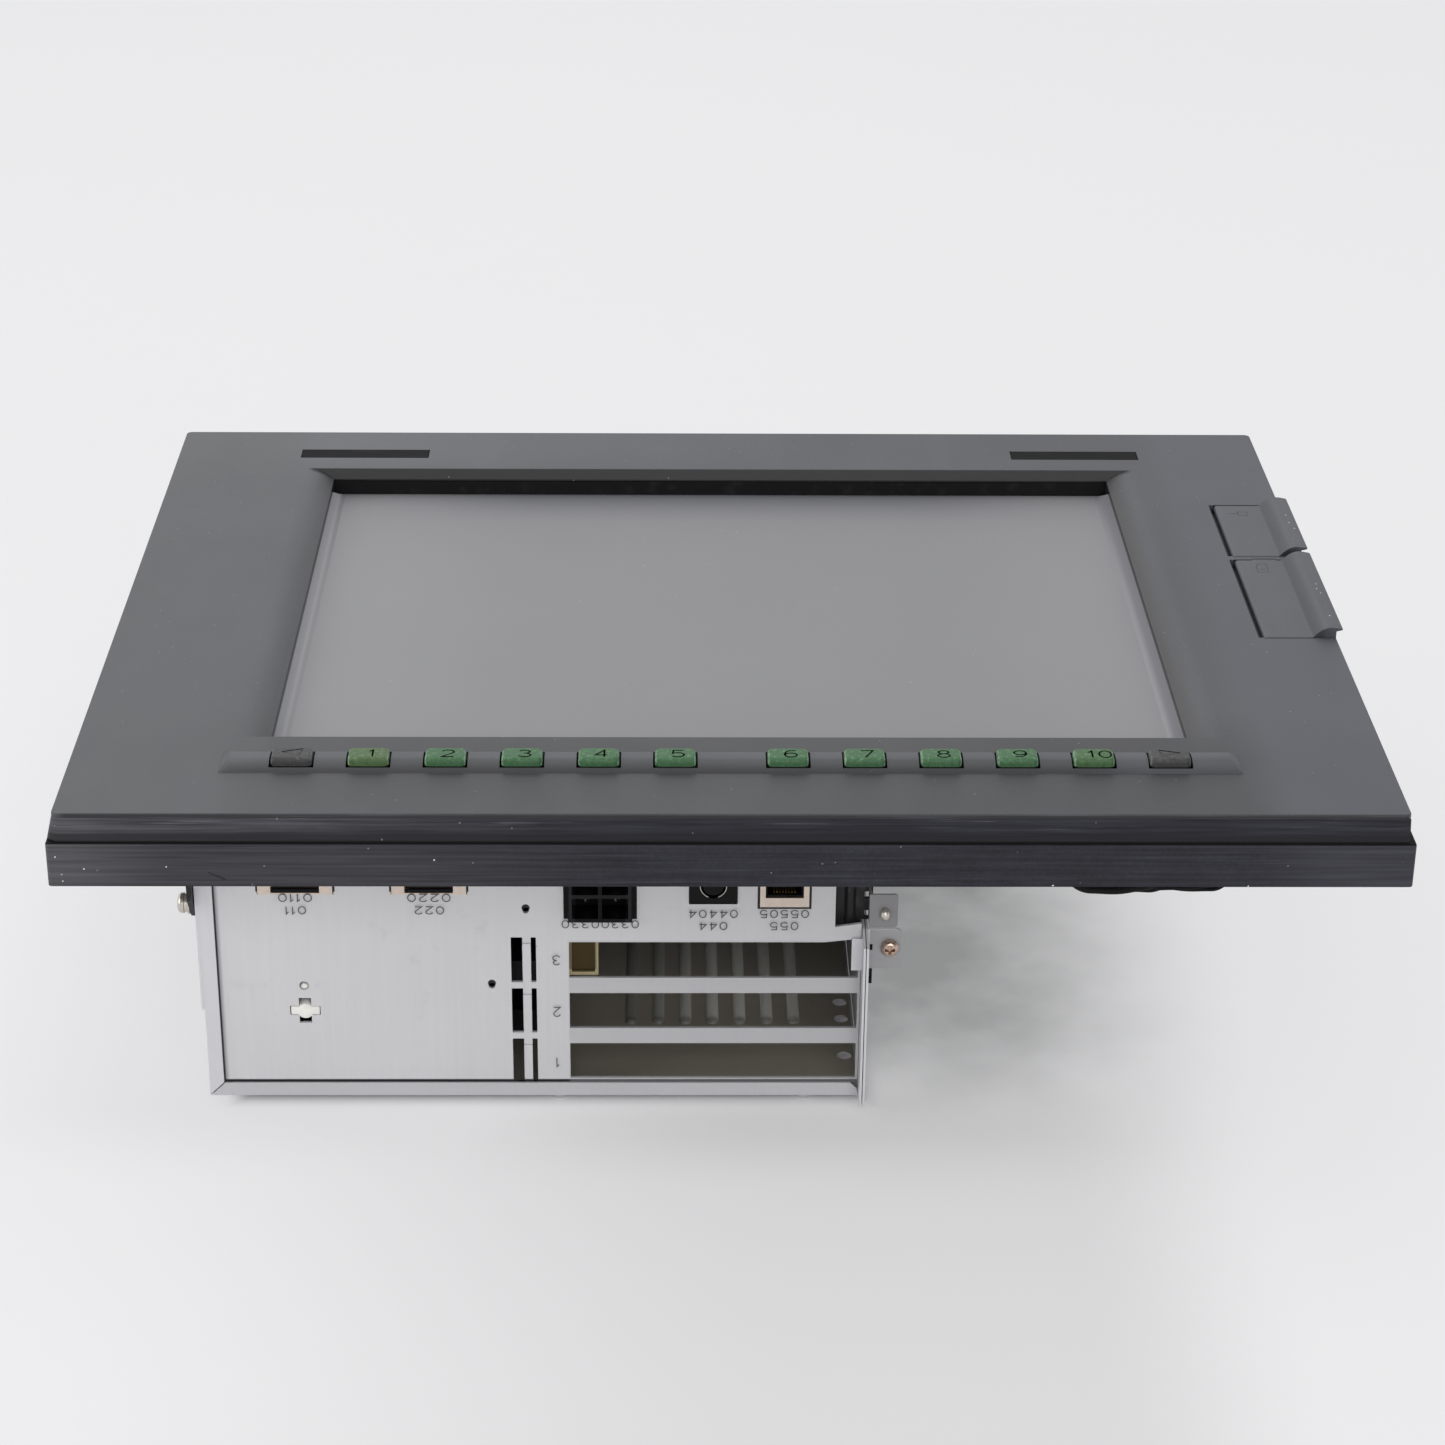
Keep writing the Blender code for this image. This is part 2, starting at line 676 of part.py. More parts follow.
def cross(target, tool):
    return work(target, tool, "INTERSECT")


def baked_mesh(name, thing):
    """The evaluated mesh of a worked piece, which is removed with its tools."""
    mesh = bpy.data.meshes.new_from_object(thing.evaluated_get(bpy.context.evaluated_depsgraph_get()))
    mesh.name = name
    tools = [step.object for step in thing.modifiers if step.type == "BOOLEAN"]
    for gone in [thing] + tools:
        bpy.data.objects.remove(gone, do_unlink=True)
    return mesh


def smooth(thing, angle=35):
    """Shades a round piece smooth, with its sharp edges kept."""
    thing.data.shade_smooth()
    thing.data.set_sharp_from_angle(angle=radians(angle))
    return thing


def arc(cx, cy, radius, start, end, steps):
    """Points along an arc, angles in degrees."""
    turns = [radians(start + (end - start) * i / steps) for i in range(steps + 1)]
    return [(cx + radius * cos(a), cy + radius * sin(a)) for a in turns]


def round_rectangle(left, right, near, far, corner):
    """A rectangle's outline with round corners."""
    return (
        arc(right - corner, far - corner, corner, 0, 90, ARC_STEPS)
        + arc(left + corner, far - corner, corner, 90, 180, ARC_STEPS)
        + arc(left + corner, near + corner, corner, 180, 270, ARC_STEPS)
        + arc(right - corner, near + corner, corner, 270, 360, ARC_STEPS)
    )


def smoothstep(t):
    return t * t * (3 - 2 * t)


def key_places():
    """The middle of each key along the bar, left to right."""
    first = KEY_GROUP_GAP / 2
    right = [first + KEY_PITCH * i for i in range(KEYS_PER_GROUP)]
    return [-x for x in reversed(right)] + right


def dish_depth(share):
    """How deep the window's side dish is at a share of its width: it starts gently and steepens."""
    return DISH_DEPTH * (share + share * share) / 2


def window_cutter():
    """The window with its dished rim: a profile along Y crossed with a profile along X."""
    steps = [i / DISH_STEPS for i in range(DISH_STEPS + 1)]
    half = [(WINDOW_RIGHT + SIDE_DISH * (1 - s), FACE - dish_depth(s)) for s in steps]
    top = FACE + OVERRUN
    foot = ROOF - OVERRUN
    right = [(WINDOW_RIGHT + SIDE_DISH, top)] + half + [(WINDOW_RIGHT, foot)]
    across = right + [(-x, z) for x, z in reversed(right)]
    tool = prism("window_cutter", across, NEAR, FAR, "Y")
    along = [
        (WINDOW_NEAR - END_DISH, top), (WINDOW_NEAR - END_DISH, FACE),
        (WINDOW_NEAR, FACE - DISH_DEPTH), (WINDOW_NEAR, foot - OVERRUN),
        (WINDOW_FAR, foot - OVERRUN), (WINDOW_FAR, FACE - DISH_DEPTH),
        (WINDOW_FAR + END_DISH, FACE), (WINDOW_FAR + END_DISH, top),
    ]
    cross(tool, prism("window_ends", along, -RIGHT, RIGHT, "X"))
    return tool


def key_bar():
    """The arched bar along the keys, its two ends cut back to a slope."""
    radius = (BAR_WIDTH * BAR_WIDTH / 4 + BAR_RISE * BAR_RISE) / (2 * BAR_RISE)
    middle = NEAR + BAR_INSET + BAR_WIDTH / 2
    reach = BAR_WIDTH / 2
    places = [-reach + BAR_WIDTH * i / BAR_STEPS for i in range(BAR_STEPS + 1)]
    crown = [(middle + v, FACE + BAR_RISE - radius + sqrt(radius * radius - v * v)) for v in places]
    foot = ROOF + OVERLAP
    profile = [(middle - reach, foot)] + crown + [(middle + reach, foot)]
    bar = prism("key_bar", profile, -BAR_LENGTH / 2 - OVERRUN, BAR_LENGTH / 2 + OVERRUN, "X")
    end = BAR_LENGTH / 2
    slope = BAR_END_RUN / BAR_RISE
    top = FACE + BAR_RISE + OVERRUN
    rise = top - FACE
    inner = end - slope * rise
    ends = [(-end, foot), (end, foot), (end, FACE), (inner, top), (-inner, top), (-end, FACE)]
    cross(bar, prism("key_bar_ends", ends, NEAR, WINDOW_NEAR, "Y"))
    return bar


def front_bezel():
    """The upper tier: a shell with the dished window, the key bar, label beds and port recesses."""
    bezel = soft_block(
        "front_bezel", (-RIGHT, NEAR, BEZEL_REAR), (RIGHT, FAR, FACE), BEZEL_CORNER, BEZEL_EDGE, "grey_paint"
    )
    join(bezel, key_bar())
    inner = RIGHT - BEZEL_WALL
    cut(bezel, block(
        "bezel_hollow", (-inner, NEAR + BEZEL_WALL, BEZEL_REAR - OVERRUN), (inner, FAR - BEZEL_WALL, ROOF)
    ))
    cut(bezel, window_cutter())
    cut(bezel, key_slots())
    cut(bezel, blocks("label_beds", [label_corners(side, FACE - LABEL_THICK - GAP, FACE + OVERRUN, GAP)
                                     for side in (-1, 1)]))
    cut(bezel, port_recesses())
    cut(bezel, port_windows())
    length = USB_RECESS[1] - CARD_RECESS[0] + 2 * PIN_HOLD
    middle = (USB_RECESS[1] + CARD_RECESS[0]) / 2
    cut(bezel, rods("pin_bore", [(HINGE_X, middle, HINGE_Z)], BORE_RADIUS, length, "Y", sides=SMALL_SIDES))
    return bezel


def key_slots():
    """The twelve slots that the keys stand in."""
    half_x = KEY_WIDTH / 2 + KEY_CLEARANCE
    half_y = KEY_DEPTH / 2 + KEY_CLEARANCE
    corners = [
        ((x - half_x, KEY_Y - half_y, ROOF - OVERRUN), (x + half_x, KEY_Y + half_y, KEY_TOP + OVERRUN))
        for x in key_places()
    ]
    return blocks("key_slots", corners)


def label_corners(side, low, high, spread=0):
    """The corners of a label strip on one side of the middle, or of its bed."""
    near = WINDOW_FAR + END_DISH + LABEL_GAP
    middle = side * LABEL_FROM_MIDDLE
    return (
        (middle - LABEL_WIDTH / 2 - spread, near - spread, low),
        (middle + LABEL_WIDTH / 2 + spread, near + LABEL_HEIGHT + spread, high),
    )


def port_recesses():
    """The two cover recesses, each with a deeper groove for the hinge barrel."""
    groove_right = HINGE_X + BARREL_RADIUS + OVERLAP
    groove_floor = HINGE_Z - BARREL_RADIUS - GAP
    top = FACE + OVERRUN
    corners = []
    for near, far in (CARD_RECESS, USB_RECESS):
        corners.append(((RECESS_LEFT, near, groove_floor), (groove_right, far, top)))
        corners.append(((groove_right - OVERLAP, near, RECESS_FLOOR), (RIGHT + OVERRUN, far, top)))
    tool = blocks("port_recesses", corners[0::2])
    join(tool, blocks("port_recess_beds", corners[1::2]))
    return tool


def port_windows():
    """The holes in the recess floors over the two ports."""
    usb_x = USB_WIDTH / 2 + PORT_RIM
    usb_y = USB_LENGTH / 2 + PORT_RIM
    card_x = CARD_WIDTH / 2
    low = ROOF - OVERRUN
    high = FACE
    return blocks("port_windows", [
        ((PORT_X - usb_x, USB_Y - usb_y, low), (PORT_X + usb_x, USB_Y + usb_y, high)),
        ((PORT_X - card_x, CARD_NEAR, low), (PORT_X + card_x, EJECT_NEAR + EJECT_LENGTH + PORT_RIM, high)),
    ])


def ring(name, outer, inner, low, high, finish_name=None, corner=0.0):
    """A rectangular ring between two heights. outer and inner hold left, right, near and far."""
    if corner:
        thing = prism(name, round_rectangle(*outer, corner), low, high, "Z", finish_name)
    else:
        thing = block(name, (outer[0], outer[2], low), (outer[1], outer[3], high), finish_name)
    cut(thing, block(
        name + "_hole", (inner[0], inner[2], low - OVERRUN), (inner[1], inner[3], high + OVERRUN)
    ))
    return thing


def around_window(spread):
    """Left, right, near and far of the window, spread outwards."""
    return (-WINDOW_RIGHT - spread, WINDOW_RIGHT + spread, WINDOW_NEAR - spread, WINDOW_FAR + spread)


def inside_bezel(inset):
    """Left, right, near and far of the bezel's outline, drawn in."""
    return (-RIGHT + inset, RIGHT - inset, NEAR + inset, FAR - inset)


def key_board_corners(low, high, spread):
    """The corners of the key board, its mat or its bed."""
    reach = key_places()[-1] + KEY_WIDTH / 2 + KEY_BOARD_MARGIN + spread
    half = KEY_BOARD_WIDTH / 2 + spread
    return (-reach, KEY_Y - half, low), (reach, KEY_Y + half, high)


def mounting_frame():
    """The lower tier: it carries the glass, the key board and the port housing, and seats on the cabinet."""
    frame = soft_block(
        "mounting_frame", (-FRAME_RIGHT, FRAME_NEAR, FRAME_REAR), (FRAME_RIGHT, FRAME_FAR, FRAME_TOP),
        FRAME_CORNER, FRAME_EDGE, "frame_paint",
    )
    left, right, near, far = around_window(LCD_OVERLAP + GLASS_CLEARANCE)
    cut(frame, block("lcd_opening", (left, near, FRAME_REAR - OVERRUN), (right, far, FRAME_TOP + OVERRUN)))
    left, right, near, far = around_window(GLASS_OVERLAP + GLASS_CLEARANCE)
    cut(frame, block("glass_bed", (left, near, GLASS_LEDGE), (right, far, FRAME_TOP + OVERRUN)))
    cut(frame, block("key_board_bed", *key_board_corners(KEY_BOARD_REAR - GAP, FRAME_TOP + OVERRUN, GAP)))
    near = CARD_RECESS[0] + HOUSING_MARGIN - GAP
    far = USB_RECESS[1] - HOUSING_MARGIN + GAP
    cut(frame, block(
        "housing_bed", (HOUSING_LEFT - GAP, near, HOUSING_REAR - GAP),
        (HOUSING_RIGHT + GAP, far, FRAME_TOP + OVERRUN),
    ))
    spread = TRAY_FLANGE + GAP
    cut(frame, block(
        "tray_bed", (-TRAY_RIGHT - spread, TRAY_NEAR - spread, FRAME_REAR - OVERRUN),
        (TRAY_RIGHT + spread, TRAY_FAR + spread, FRAME_REAR + TRAY_BED_DEPTH),
    ))
    return frame


def display_stack():
    """Seal, gasket, glass, LCD module and backlight inverter."""
    ring("panel_seal", inside_bezel(-SEAL_SHOW), inside_bezel(SEAL_COVER),
         FRAME_TOP + SEAL_GAP, BEZEL_REAR - SEAL_GAP, "black_rubber")
    ring("window_gasket", around_window(GASKET_WIDTH), around_window(0),
         GASKET_TOP - GASKET_THICK, GASKET_TOP, "black_rubber")
    left, right, near, far = around_window(GLASS_OVERLAP)
    block("touch_glass", (left, near, GLASS_REAR), (right, far, GLASS_TOP), "matte_glass")
    left, right, near, far = around_window(LCD_OVERLAP)
    top = GLASS_REAR - GAP
    lcd = block("lcd_module", (left, near, top - LCD_THICK), (right, far, top), "black_steel")
    cut(lcd, block(
        "lcd_picture", (left + LCD_RIM, near + LCD_RIM, top - LCD_RECESS),
        (right - LCD_RIM, far - LCD_RIM, top + OVERRUN),
    ))
    inverter()


def inverter():
    """The backlight supply: a long board on four posts with three coils."""
    floor = TRAY_REAR + TRAY_SHEET + GAP
    low = floor + INVERTER_POST
    high = low + INVERTER_BOARD
    middle = (WINDOW_NEAR + WINDOW_FAR) / 2
    half_x = INVERTER_LENGTH / 2
    half_y = INVERTER_WIDTH / 2
    board = block(
        "backlight_inverter", (-half_x, middle - half_y, low), (half_x, middle + half_y, high), "board"
    )
    inset = 2 * INVERTER_POST_RADIUS
    posts = [
        (x * (half_x - inset), middle + y * (half_y - inset), (floor + low + OVERLAP) / 2)
        for x in (-1, 1) for y in (-1, 1)
    ]
    length = low + OVERLAP - floor
    join(board, rods("inverter_posts", posts, INVERTER_POST_RADIUS, length, "Z", sides=SMALL_SIDES))
    coils = []
    for i in (-1, 0, 1):
        x = i * (INVERTER_COIL_LENGTH + INVERTER_COIL_HEIGHT)
        coils.append((
            (x - INVERTER_COIL_LENGTH / 2, middle - INVERTER_COIL_WIDTH / 2, high - OVERLAP),
            (x + INVERTER_COIL_LENGTH / 2, middle + INVERTER_COIL_WIDTH / 2, high + INVERTER_COIL_HEIGHT),
        ))
    join(board, blocks("inverter_coils", coils))


def labels():
    """The two bare black strips beyond the window."""
    for name, side in (("label_plate_left", -1), ("label_plate_right", 1)):
        low, high = label_corners(side, FACE - LABEL_THICK, FACE)
        block(name, low, high, "black_film")


def key_mesh():
    """One key, made about its own middle: a rounded cap over a flange that holds it in."""
    half_x = KEY_WIDTH / 2
    half_y = KEY_DEPTH / 2
    low = (-half_x, -half_y, KEY_FOOT)
    cap = soft_block("key_shape", low, (half_x, half_y, KEY_TOP), KEY_ROUND, KEY_ROUND)
    spread = KEY_FLANGE
    join(cap, block(
        "key_flange", (-half_x - spread, -half_y - spread, KEY_FOOT - GAP / 2),
        (half_x + spread, half_y + spread, KEY_FOOT + KEY_FLANGE_THICK),
    ))
    return baked_mesh("key_shape", cap)


def keys():
    """The twelve soft keys: grey at the two ends, green between. Each origin is on its slide."""
    shape = key_mesh()
    count = 2 * KEYS_PER_GROUP
    for i, x in enumerate(key_places()):
        mesh = shape.copy()
        mesh.materials.append(finish("grey_key" if i in (0, count - 1) else "green_key"))
        key = bpy.data.objects.new(f"key_{i + 1:02d}", mesh)
        mesh.transform(Matrix.Translation((0, 0, -KEY_FOOT)))
        key.location = (x, KEY_Y, KEY_FOOT)
        GROUPS["cnc_operator_panel"].objects.link(key)
        smooth(key)
    bpy.data.meshes.remove(shape)


def key_switches():
    """The rubber mat under the keys and the switch board under the mat."""
    block("key_mat", *key_board_corners(MAT_TOP - MAT_THICK, MAT_TOP, -GAP), "black_rubber")
    block("key_board", *key_board_corners(KEY_BOARD_REAR, KEY_BOARD_TOP, 0), "board")


def cover_outline():
    """Across a port cover: hinge barrel, flat lid, wave-shaped grip and finger lip."""
    plate_low = FACE - COVER_THICK
    foot_angle = 360 - 28
    barrel = arc(HINGE_X, HINGE_Z, BARREL_RADIUS, 90, foot_angle, 2 * ARC_STEPS + 2)
    barrel[-1] = (barrel[-1][0], plate_low)
    start = RIGHT - WAVE_LENGTH
    wave = []
    for i in range(WAVE_STEPS + 1):
        t = i / WAVE_STEPS
        wave.append((start + WAVE_RUN * t, FACE + WAVE_RISE * smoothstep(t)))
    crest = start + WAVE_RUN
    lip_end = RIGHT + FRAME_OVERHANG
    for i in range(1, LIP_STEPS + 1):
        t = i / LIP_STEPS
        wave.append((crest + (lip_end - crest) * t, FACE + WAVE_RISE - LIP_FALL * t * t))
    lip_low = FACE + WAVE_RISE - LIP_FALL - LIP_THICK
    under = [(lip_end, lip_low), (RIGHT, FACE + WAVE_RISE - LIP_ROOT_FALL), (RIGHT, plate_low)]
    return barrel + under[::-1] + wave[::-1]


def port_cover(name, recess):
    """One hinged cover, its origin on its hinge axis, and the pin it turns on."""
    near = recess[0] + COVER_END_GAP
    far = recess[1] - COVER_END_GAP
    middle = (near + far) / 2
    hinge = (HINGE_X, middle, HINGE_Z)
    lid = prism(name, cover_outline(), near, far, "Y", "grey_paint", hinge)
    cut(lid, rods(
        name + "_bore", [hinge], BORE_RADIUS, far - near + 2 * OVERRUN, "Y", sides=SMALL_SIDES
    ))
    length = recess[1] - recess[0] + 2 * (PIN_HOLD - GAP)
    rods(name + "_pin", [hinge], PIN_RADIUS, length, "Y", "bright_steel", SMALL_SIDES)
    return lid


def ports():
    """The port housing under the covers with its USB socket, card socket and eject button."""
    near = CARD_RECESS[0] + HOUSING_MARGIN
    far = USB_RECESS[1] - HOUSING_MARGIN
    housing = block(
        "port_housing", (HOUSING_LEFT, near, HOUSING_REAR), (HOUSING_RIGHT, far, HOUSING_TOP), "black_plastic"
    )
    top = HOUSING_TOP + OVERRUN
    usb_low = (PORT_X - USB_WIDTH / 2, USB_Y - USB_LENGTH / 2, HOUSING_TOP - USB_DEPTH)
    usb_high = (PORT_X + USB_WIDTH / 2, USB_Y + USB_LENGTH / 2, HOUSING_TOP)
    card_low = (PORT_X - CARD_WIDTH / 2, CARD_NEAR, HOUSING_TOP - CARD_DEPTH)
    card_high = (PORT_X + CARD_WIDTH / 2, CARD_FAR, HOUSING_TOP)
    eject_top = HOUSING_TOP + EJECT_RISE
    eject_low = (PORT_X - EJECT_WIDTH / 2, EJECT_NEAR, eject_top - EJECT_HEIGHT)
    eject_high = (PORT_X + EJECT_WIDTH / 2, EJECT_NEAR + EJECT_LENGTH, eject_top)
    beds = []
    for low, high in ((usb_low, usb_high), (card_low, card_high)):
        beds.append((
            (low[0] - GAP, low[1] - GAP, low[2] - GAP), (high[0] + GAP, high[1] + GAP, top),
        ))
    beds.append((
        (eject_low[0] - GAP, eject_low[1] - GAP, eject_low[2] - EJECT_TRAVEL - GAP),
        (eject_high[0] + GAP, eject_high[1] + GAP, top),
    ))
    cut(housing, blocks("port_beds", beds))
    usb_socket(usb_low, usb_high)
    card_socket(card_low, card_high)
    soft_block(
        "card_eject_button", eject_low, eject_high, EJECT_ROUND, EJECT_ROUND, "black_plastic",
        (PORT_X, EJECT_Y, eject_top - EJECT_HEIGHT),
    )


def usb_socket(low, high):
    """A square metal shell with a contact tongue."""
    shell = block("usb_socket", low, high, "bright_steel")
    floor = low[2] + USB_WALL
    inner_low = (low[0] + USB_WALL, low[1] + USB_WALL, floor)
    inner_high = (high[0] - USB_WALL, high[1] - USB_WALL, high[2] + OVERRUN)
    cut(shell, block("usb_mouth", inner_low, inner_high))
    join(shell, block(
        "usb_tongue", (inner_low[0] + USB_WALL, inner_low[1] + 2 * USB_WALL, floor - USB_WALL / 2),
        (inner_low[0] + USB_WALL + USB_TONGUE, inner_high[1] - 2 * USB_WALL, high[2] - 2 * USB_WALL),
    ))


def card_socket(low, high):
    """A long socket with one deep mouth."""
    body = block("card_socket", low, high, "black_plastic")
    middle_x = (low[0] + high[0]) / 2
    middle_y = (low[1] + high[1]) / 2
    half_x = CARD_MOUTH_WIDTH / 2
    half_y = CARD_MOUTH_LENGTH / 2
    cut(body, block(
        "card_mouth", (middle_x - half_x, middle_y - half_y, low[2] + CARD_FLOOR),
        (middle_x + half_x, middle_y + half_y, high[2] + OVERRUN),
    ))


def rear_tray():
    """The shallow pan behind the display, with its screwed flange."""
    tray = block(
        "rear_tray", (-TRAY_RIGHT, TRAY_NEAR, TRAY_REAR), (TRAY_RIGHT, TRAY_FAR, TRAY_TOP), "zinc_sheet"
    )
    spread = TRAY_FLANGE
    join(tray, block(
        "tray_flange", (-TRAY_RIGHT - spread, TRAY_NEAR - spread, TRAY_TOP - TRAY_SHEET),
        (TRAY_RIGHT + spread, TRAY_FAR + spread, TRAY_TOP),
    ))
    inner = TRAY_RIGHT - TRAY_SHEET
    cut(tray, block(
        "tray_hollow", (-inner, TRAY_NEAR + TRAY_SHEET, TRAY_REAR + TRAY_SHEET),
        (inner, TRAY_FAR - TRAY_SHEET, TRAY_TOP + OVERRUN),
    ))
    edge = TRAY_RIGHT + spread / 2
    height = TRAY_TOP - TRAY_SHEET - TRAY_SCREW_HEIGHT / 2 + OVERLAP / 2
    places = [(x * edge, y, height) for x in (-1, 1) for y in (TRAY_NEAR, 0, TRAY_FAR)]
    places += [(0, y, height) for y in (TRAY_NEAR - spread / 2, TRAY_FAR + spread / 2)]
    join(tray, rods(
        "tray_screws", places, TRAY_SCREW_RADIUS, TRAY_SCREW_HEIGHT + OVERLAP, "Z", sides=SMALL_SIDES
    ))
    bores = [(x, GROMMET_Y, TRAY_REAR) for x in grommet_places()]
    cut(tray, rods("tray_bores", bores, GROMMET_BORE, 2 * OVERRUN + TRAY_SHEET, "Z"))
    bores = [(x, GROMMET_Y - THIN_SET, TRAY_REAR) for x in thin_places()]
    cut(tray, rods("thin_bores", bores, THIN_RADIUS + GAP, 2 * OVERRUN + TRAY_SHEET, "Z", sides=SMALL_SIDES))
    return tray


def fold_outline():
    """The case's folded left edge, mitred where it meets the cover's fold."""
    inner = CASE_LEFT + FOLD_WIDTH
    return [
        (CASE_LEFT, CASE_TOP), (inner, CASE_TOP), (inner, COVER_OUT + FOLD_WIDTH + GAP),
        (CASE_LEFT + SHEET, WALL_FOOT), (CASE_LEFT, WALL_FOOT),
    ]


def ledge_outline():
    """The right wall in front of the plate: it reaches towards the operator and slopes off at its top."""
    front = CASE_FRONT - LEDGE_REACH
    return [
        (front, COVER_OUT), (CASE_FRONT + OVERLAP, COVER_OUT), (CASE_FRONT + OVERLAP, NOTCH_FLOOR),
        (CASE_FRONT, NOTCH_FLOOR), (front, NOTCH_FLOOR - LEDGE_SLOPE),
    ]


def rear_case():
    """Left, back and right walls of the case, with the folded front edge, the card ledge and a side tab."""
    case = block(
        "rear_case", (CASE_LEFT, CASE_FRONT, COVER_OUT), (CASE_RIGHT, CASE_BACK, CASE_TOP), "zinc_sheet"
    )
    cut(case, block(
        "case_hollow", (CASE_LEFT + SHEET, CASE_FRONT - OVERRUN, COVER_OUT - OVERRUN),
        (CASE_RIGHT - SHEET, CASE_BACK - SHEET, CASE_TOP + OVERRUN),
    ))
    cut(case, block(
        "case_foot", (CASE_LEFT - OVERRUN, CASE_FRONT - OVERRUN, COVER_OUT - OVERRUN),
        (CASE_RIGHT - SHEET, CASE_BACK + OVERRUN, WALL_FOOT),
    ))
    join(case, prism("case_fold", fold_outline(), CASE_FRONT, CASE_FRONT + SHEET, "Y"))
    seam_front = PLATE_BACK + NOTCH_BACK + GAP
    seam = block(
        "case_seam", (CASE_LEFT + SHEET / 2, seam_front, CASE_TOP - SHEET),
        (CASE_RIGHT - SHEET / 2, CASE_BACK - SHEET / 2, CASE_TOP),
    )
    cut(seam, block(
        "case_seam_hole", (CASE_LEFT + SEAM_FLANGE, seam_front - OVERRUN, CASE_TOP - OVERRUN),
        (CASE_RIGHT - SEAM_FLANGE, CASE_BACK - SEAM_FLANGE, CASE_TOP + OVERRUN),
    ))
    join(case, seam)
    cut(case, block(
        "case_notch", (CASE_RIGHT - SHEET - OVERRUN, CASE_FRONT - OVERRUN, NOTCH_FLOOR),
        (CASE_RIGHT + OVERRUN, PLATE_BACK + NOTCH_BACK, CASE_TOP + OVERRUN),
    ))
    join(case, prism("card_ledge", ledge_outline(), CASE_RIGHT - SHEET, CASE_RIGHT, "X"))
    tab_top = NOTCH_FLOOR - SIDE_TAB_TOP
    tab_foot = tab_top - SIDE_TAB_HEIGHT
    root = CASE_RIGHT - SHEET / 2
    end = CASE_RIGHT + SIDE_TAB_WIDTH
    corner = SIDE_TAB_CORNER
    outline = (
        [(root, tab_top), (root, tab_foot)]
        + arc(end - corner, tab_foot + corner, corner, 270, 360, ARC_STEPS)
        + arc(end - corner, tab_top - corner, corner, 0, 90, ARC_STEPS)
    )
    near = CASE_FRONT + OVERLAP
    join(case, prism("case_side_tab", outline, near, near + SHEET, "Y"))
    return case


def stadium(x, near, far, width):
    """The outline of a slot with round ends."""
    radius = width / 2
    steps = ARC_STEPS
    return arc(x, far - radius, radius, 0, 180, steps) + arc(x, near + radius, radius, 180, 360, steps)


def head_places():
    """Where the six screw heads stand under the rear cover."""
    front = CASE_FRONT + HEAD_FROM_FRONT
    back = CASE_BACK - HEAD_FROM_FRONT
    left = CASE_LEFT + HEAD_FROM_SIDE
    first = CASE_LEFT + HEAD_FIRST_FROM_LEFT
    last = CASE_RIGHT - HEAD_LAST_FROM_RIGHT
    side = CASE_FRONT + HEAD_LEFT_FROM_FRONT
    return [(first, front), (last, front), (left, side), (left, back), (first, back), (last, back)]


def rear_cover():
    """The cover that the panel lies on: folded front edge, vent slots, round holes and screw heads."""
    right = CASE_RIGHT - SHEET - GAP
    cover = block(
        "rear_cover", (CASE_LEFT, CASE_FRONT, COVER_OUT), (right, CASE_BACK, COVER_IN), "zinc_sheet"
    )
    cut(cover, block(
        "cover_corner", (BRACKET_LEFT - GAP, CASE_FRONT - OVERRUN, COVER_OUT - OVERRUN),
        (CASE_RIGHT, CASE_FRONT - LEDGE_REACH + BRACKET_LENGTH + GAP, COVER_IN + OVERRUN),
    ))
    left = CASE_LEFT + SHEET + GAP
    inner = CASE_LEFT + FOLD_WIDTH + GAP
    right = BRACKET_LEFT - GAP
    top = COVER_OUT + FOLD_WIDTH
    low = COVER_OUT + SHEET / 2
    clip = right - FOLD_CLIP
    fold = [(left, low), (right, low), (right, top - FOLD_CLIP), (clip, top), (inner, top), (left, COVER_IN)]
    join(cover, prism("cover_fold", fold, CASE_FRONT, CASE_FRONT + SHEET, "Y"))
    near = CASE_FRONT + VENT_FROM_FRONT
    last = CASE_RIGHT - VENT_FROM_RIGHT
    for i in range(VENT_COUNT):
        outline = stadium(last - VENT_PITCH * i, near, near + VENT_LENGTH, VENT_WIDTH)
        cut(cover, prism(f"vent_{i + 1}", outline, COVER_OUT - OVERRUN, COVER_IN + OVERRUN, "Z"))
    holes = [(CASE_RIGHT - COVER_HOLE_FROM_RIGHT, CASE_FRONT + y, COVER_OUT) for y in COVER_HOLES_FROM_FRONT]
    cut(cover, rods("cover_holes", holes, COVER_HOLE_RADIUS, 2 * OVERRUN + SHEET, "Z"))
    height = COVER_OUT - REST + OVERLAP
    heads = [(x, y, REST + height / 2) for x, y in head_places()]
    join(cover, rods(
        "cover_screws", heads, HEAD_RADIUS * HEAD_DOME_SHARE, height, "Z", tip=HEAD_RADIUS
    ))
    return cover


def connector_openings():
    """Left, right and foot of each connector's hole in the plate."""
    places = []
    for share, width, height in (
        (SERIAL_LEFT_SHARE, SHELL_WIDTH, SHELL_HEIGHT),
        (SERIAL_RIGHT_SHARE, SHELL_WIDTH, SHELL_HEIGHT),
        (POWER_SHARE, POWER_WIDTH, POWER_HEIGHT),
        (KEYBOARD_SHARE, KEYBOARD_WIDTH, KEYBOARD_HEIGHT),
        (NETWORK_SHARE, NETWORK_WIDTH, NETWORK_HEIGHT),
    ):
        middle = CASE_LEFT + CASE_WIDTH * share
        places.append((middle - width / 2, middle + width / 2, CONNECTOR_TOP - height))
    return places


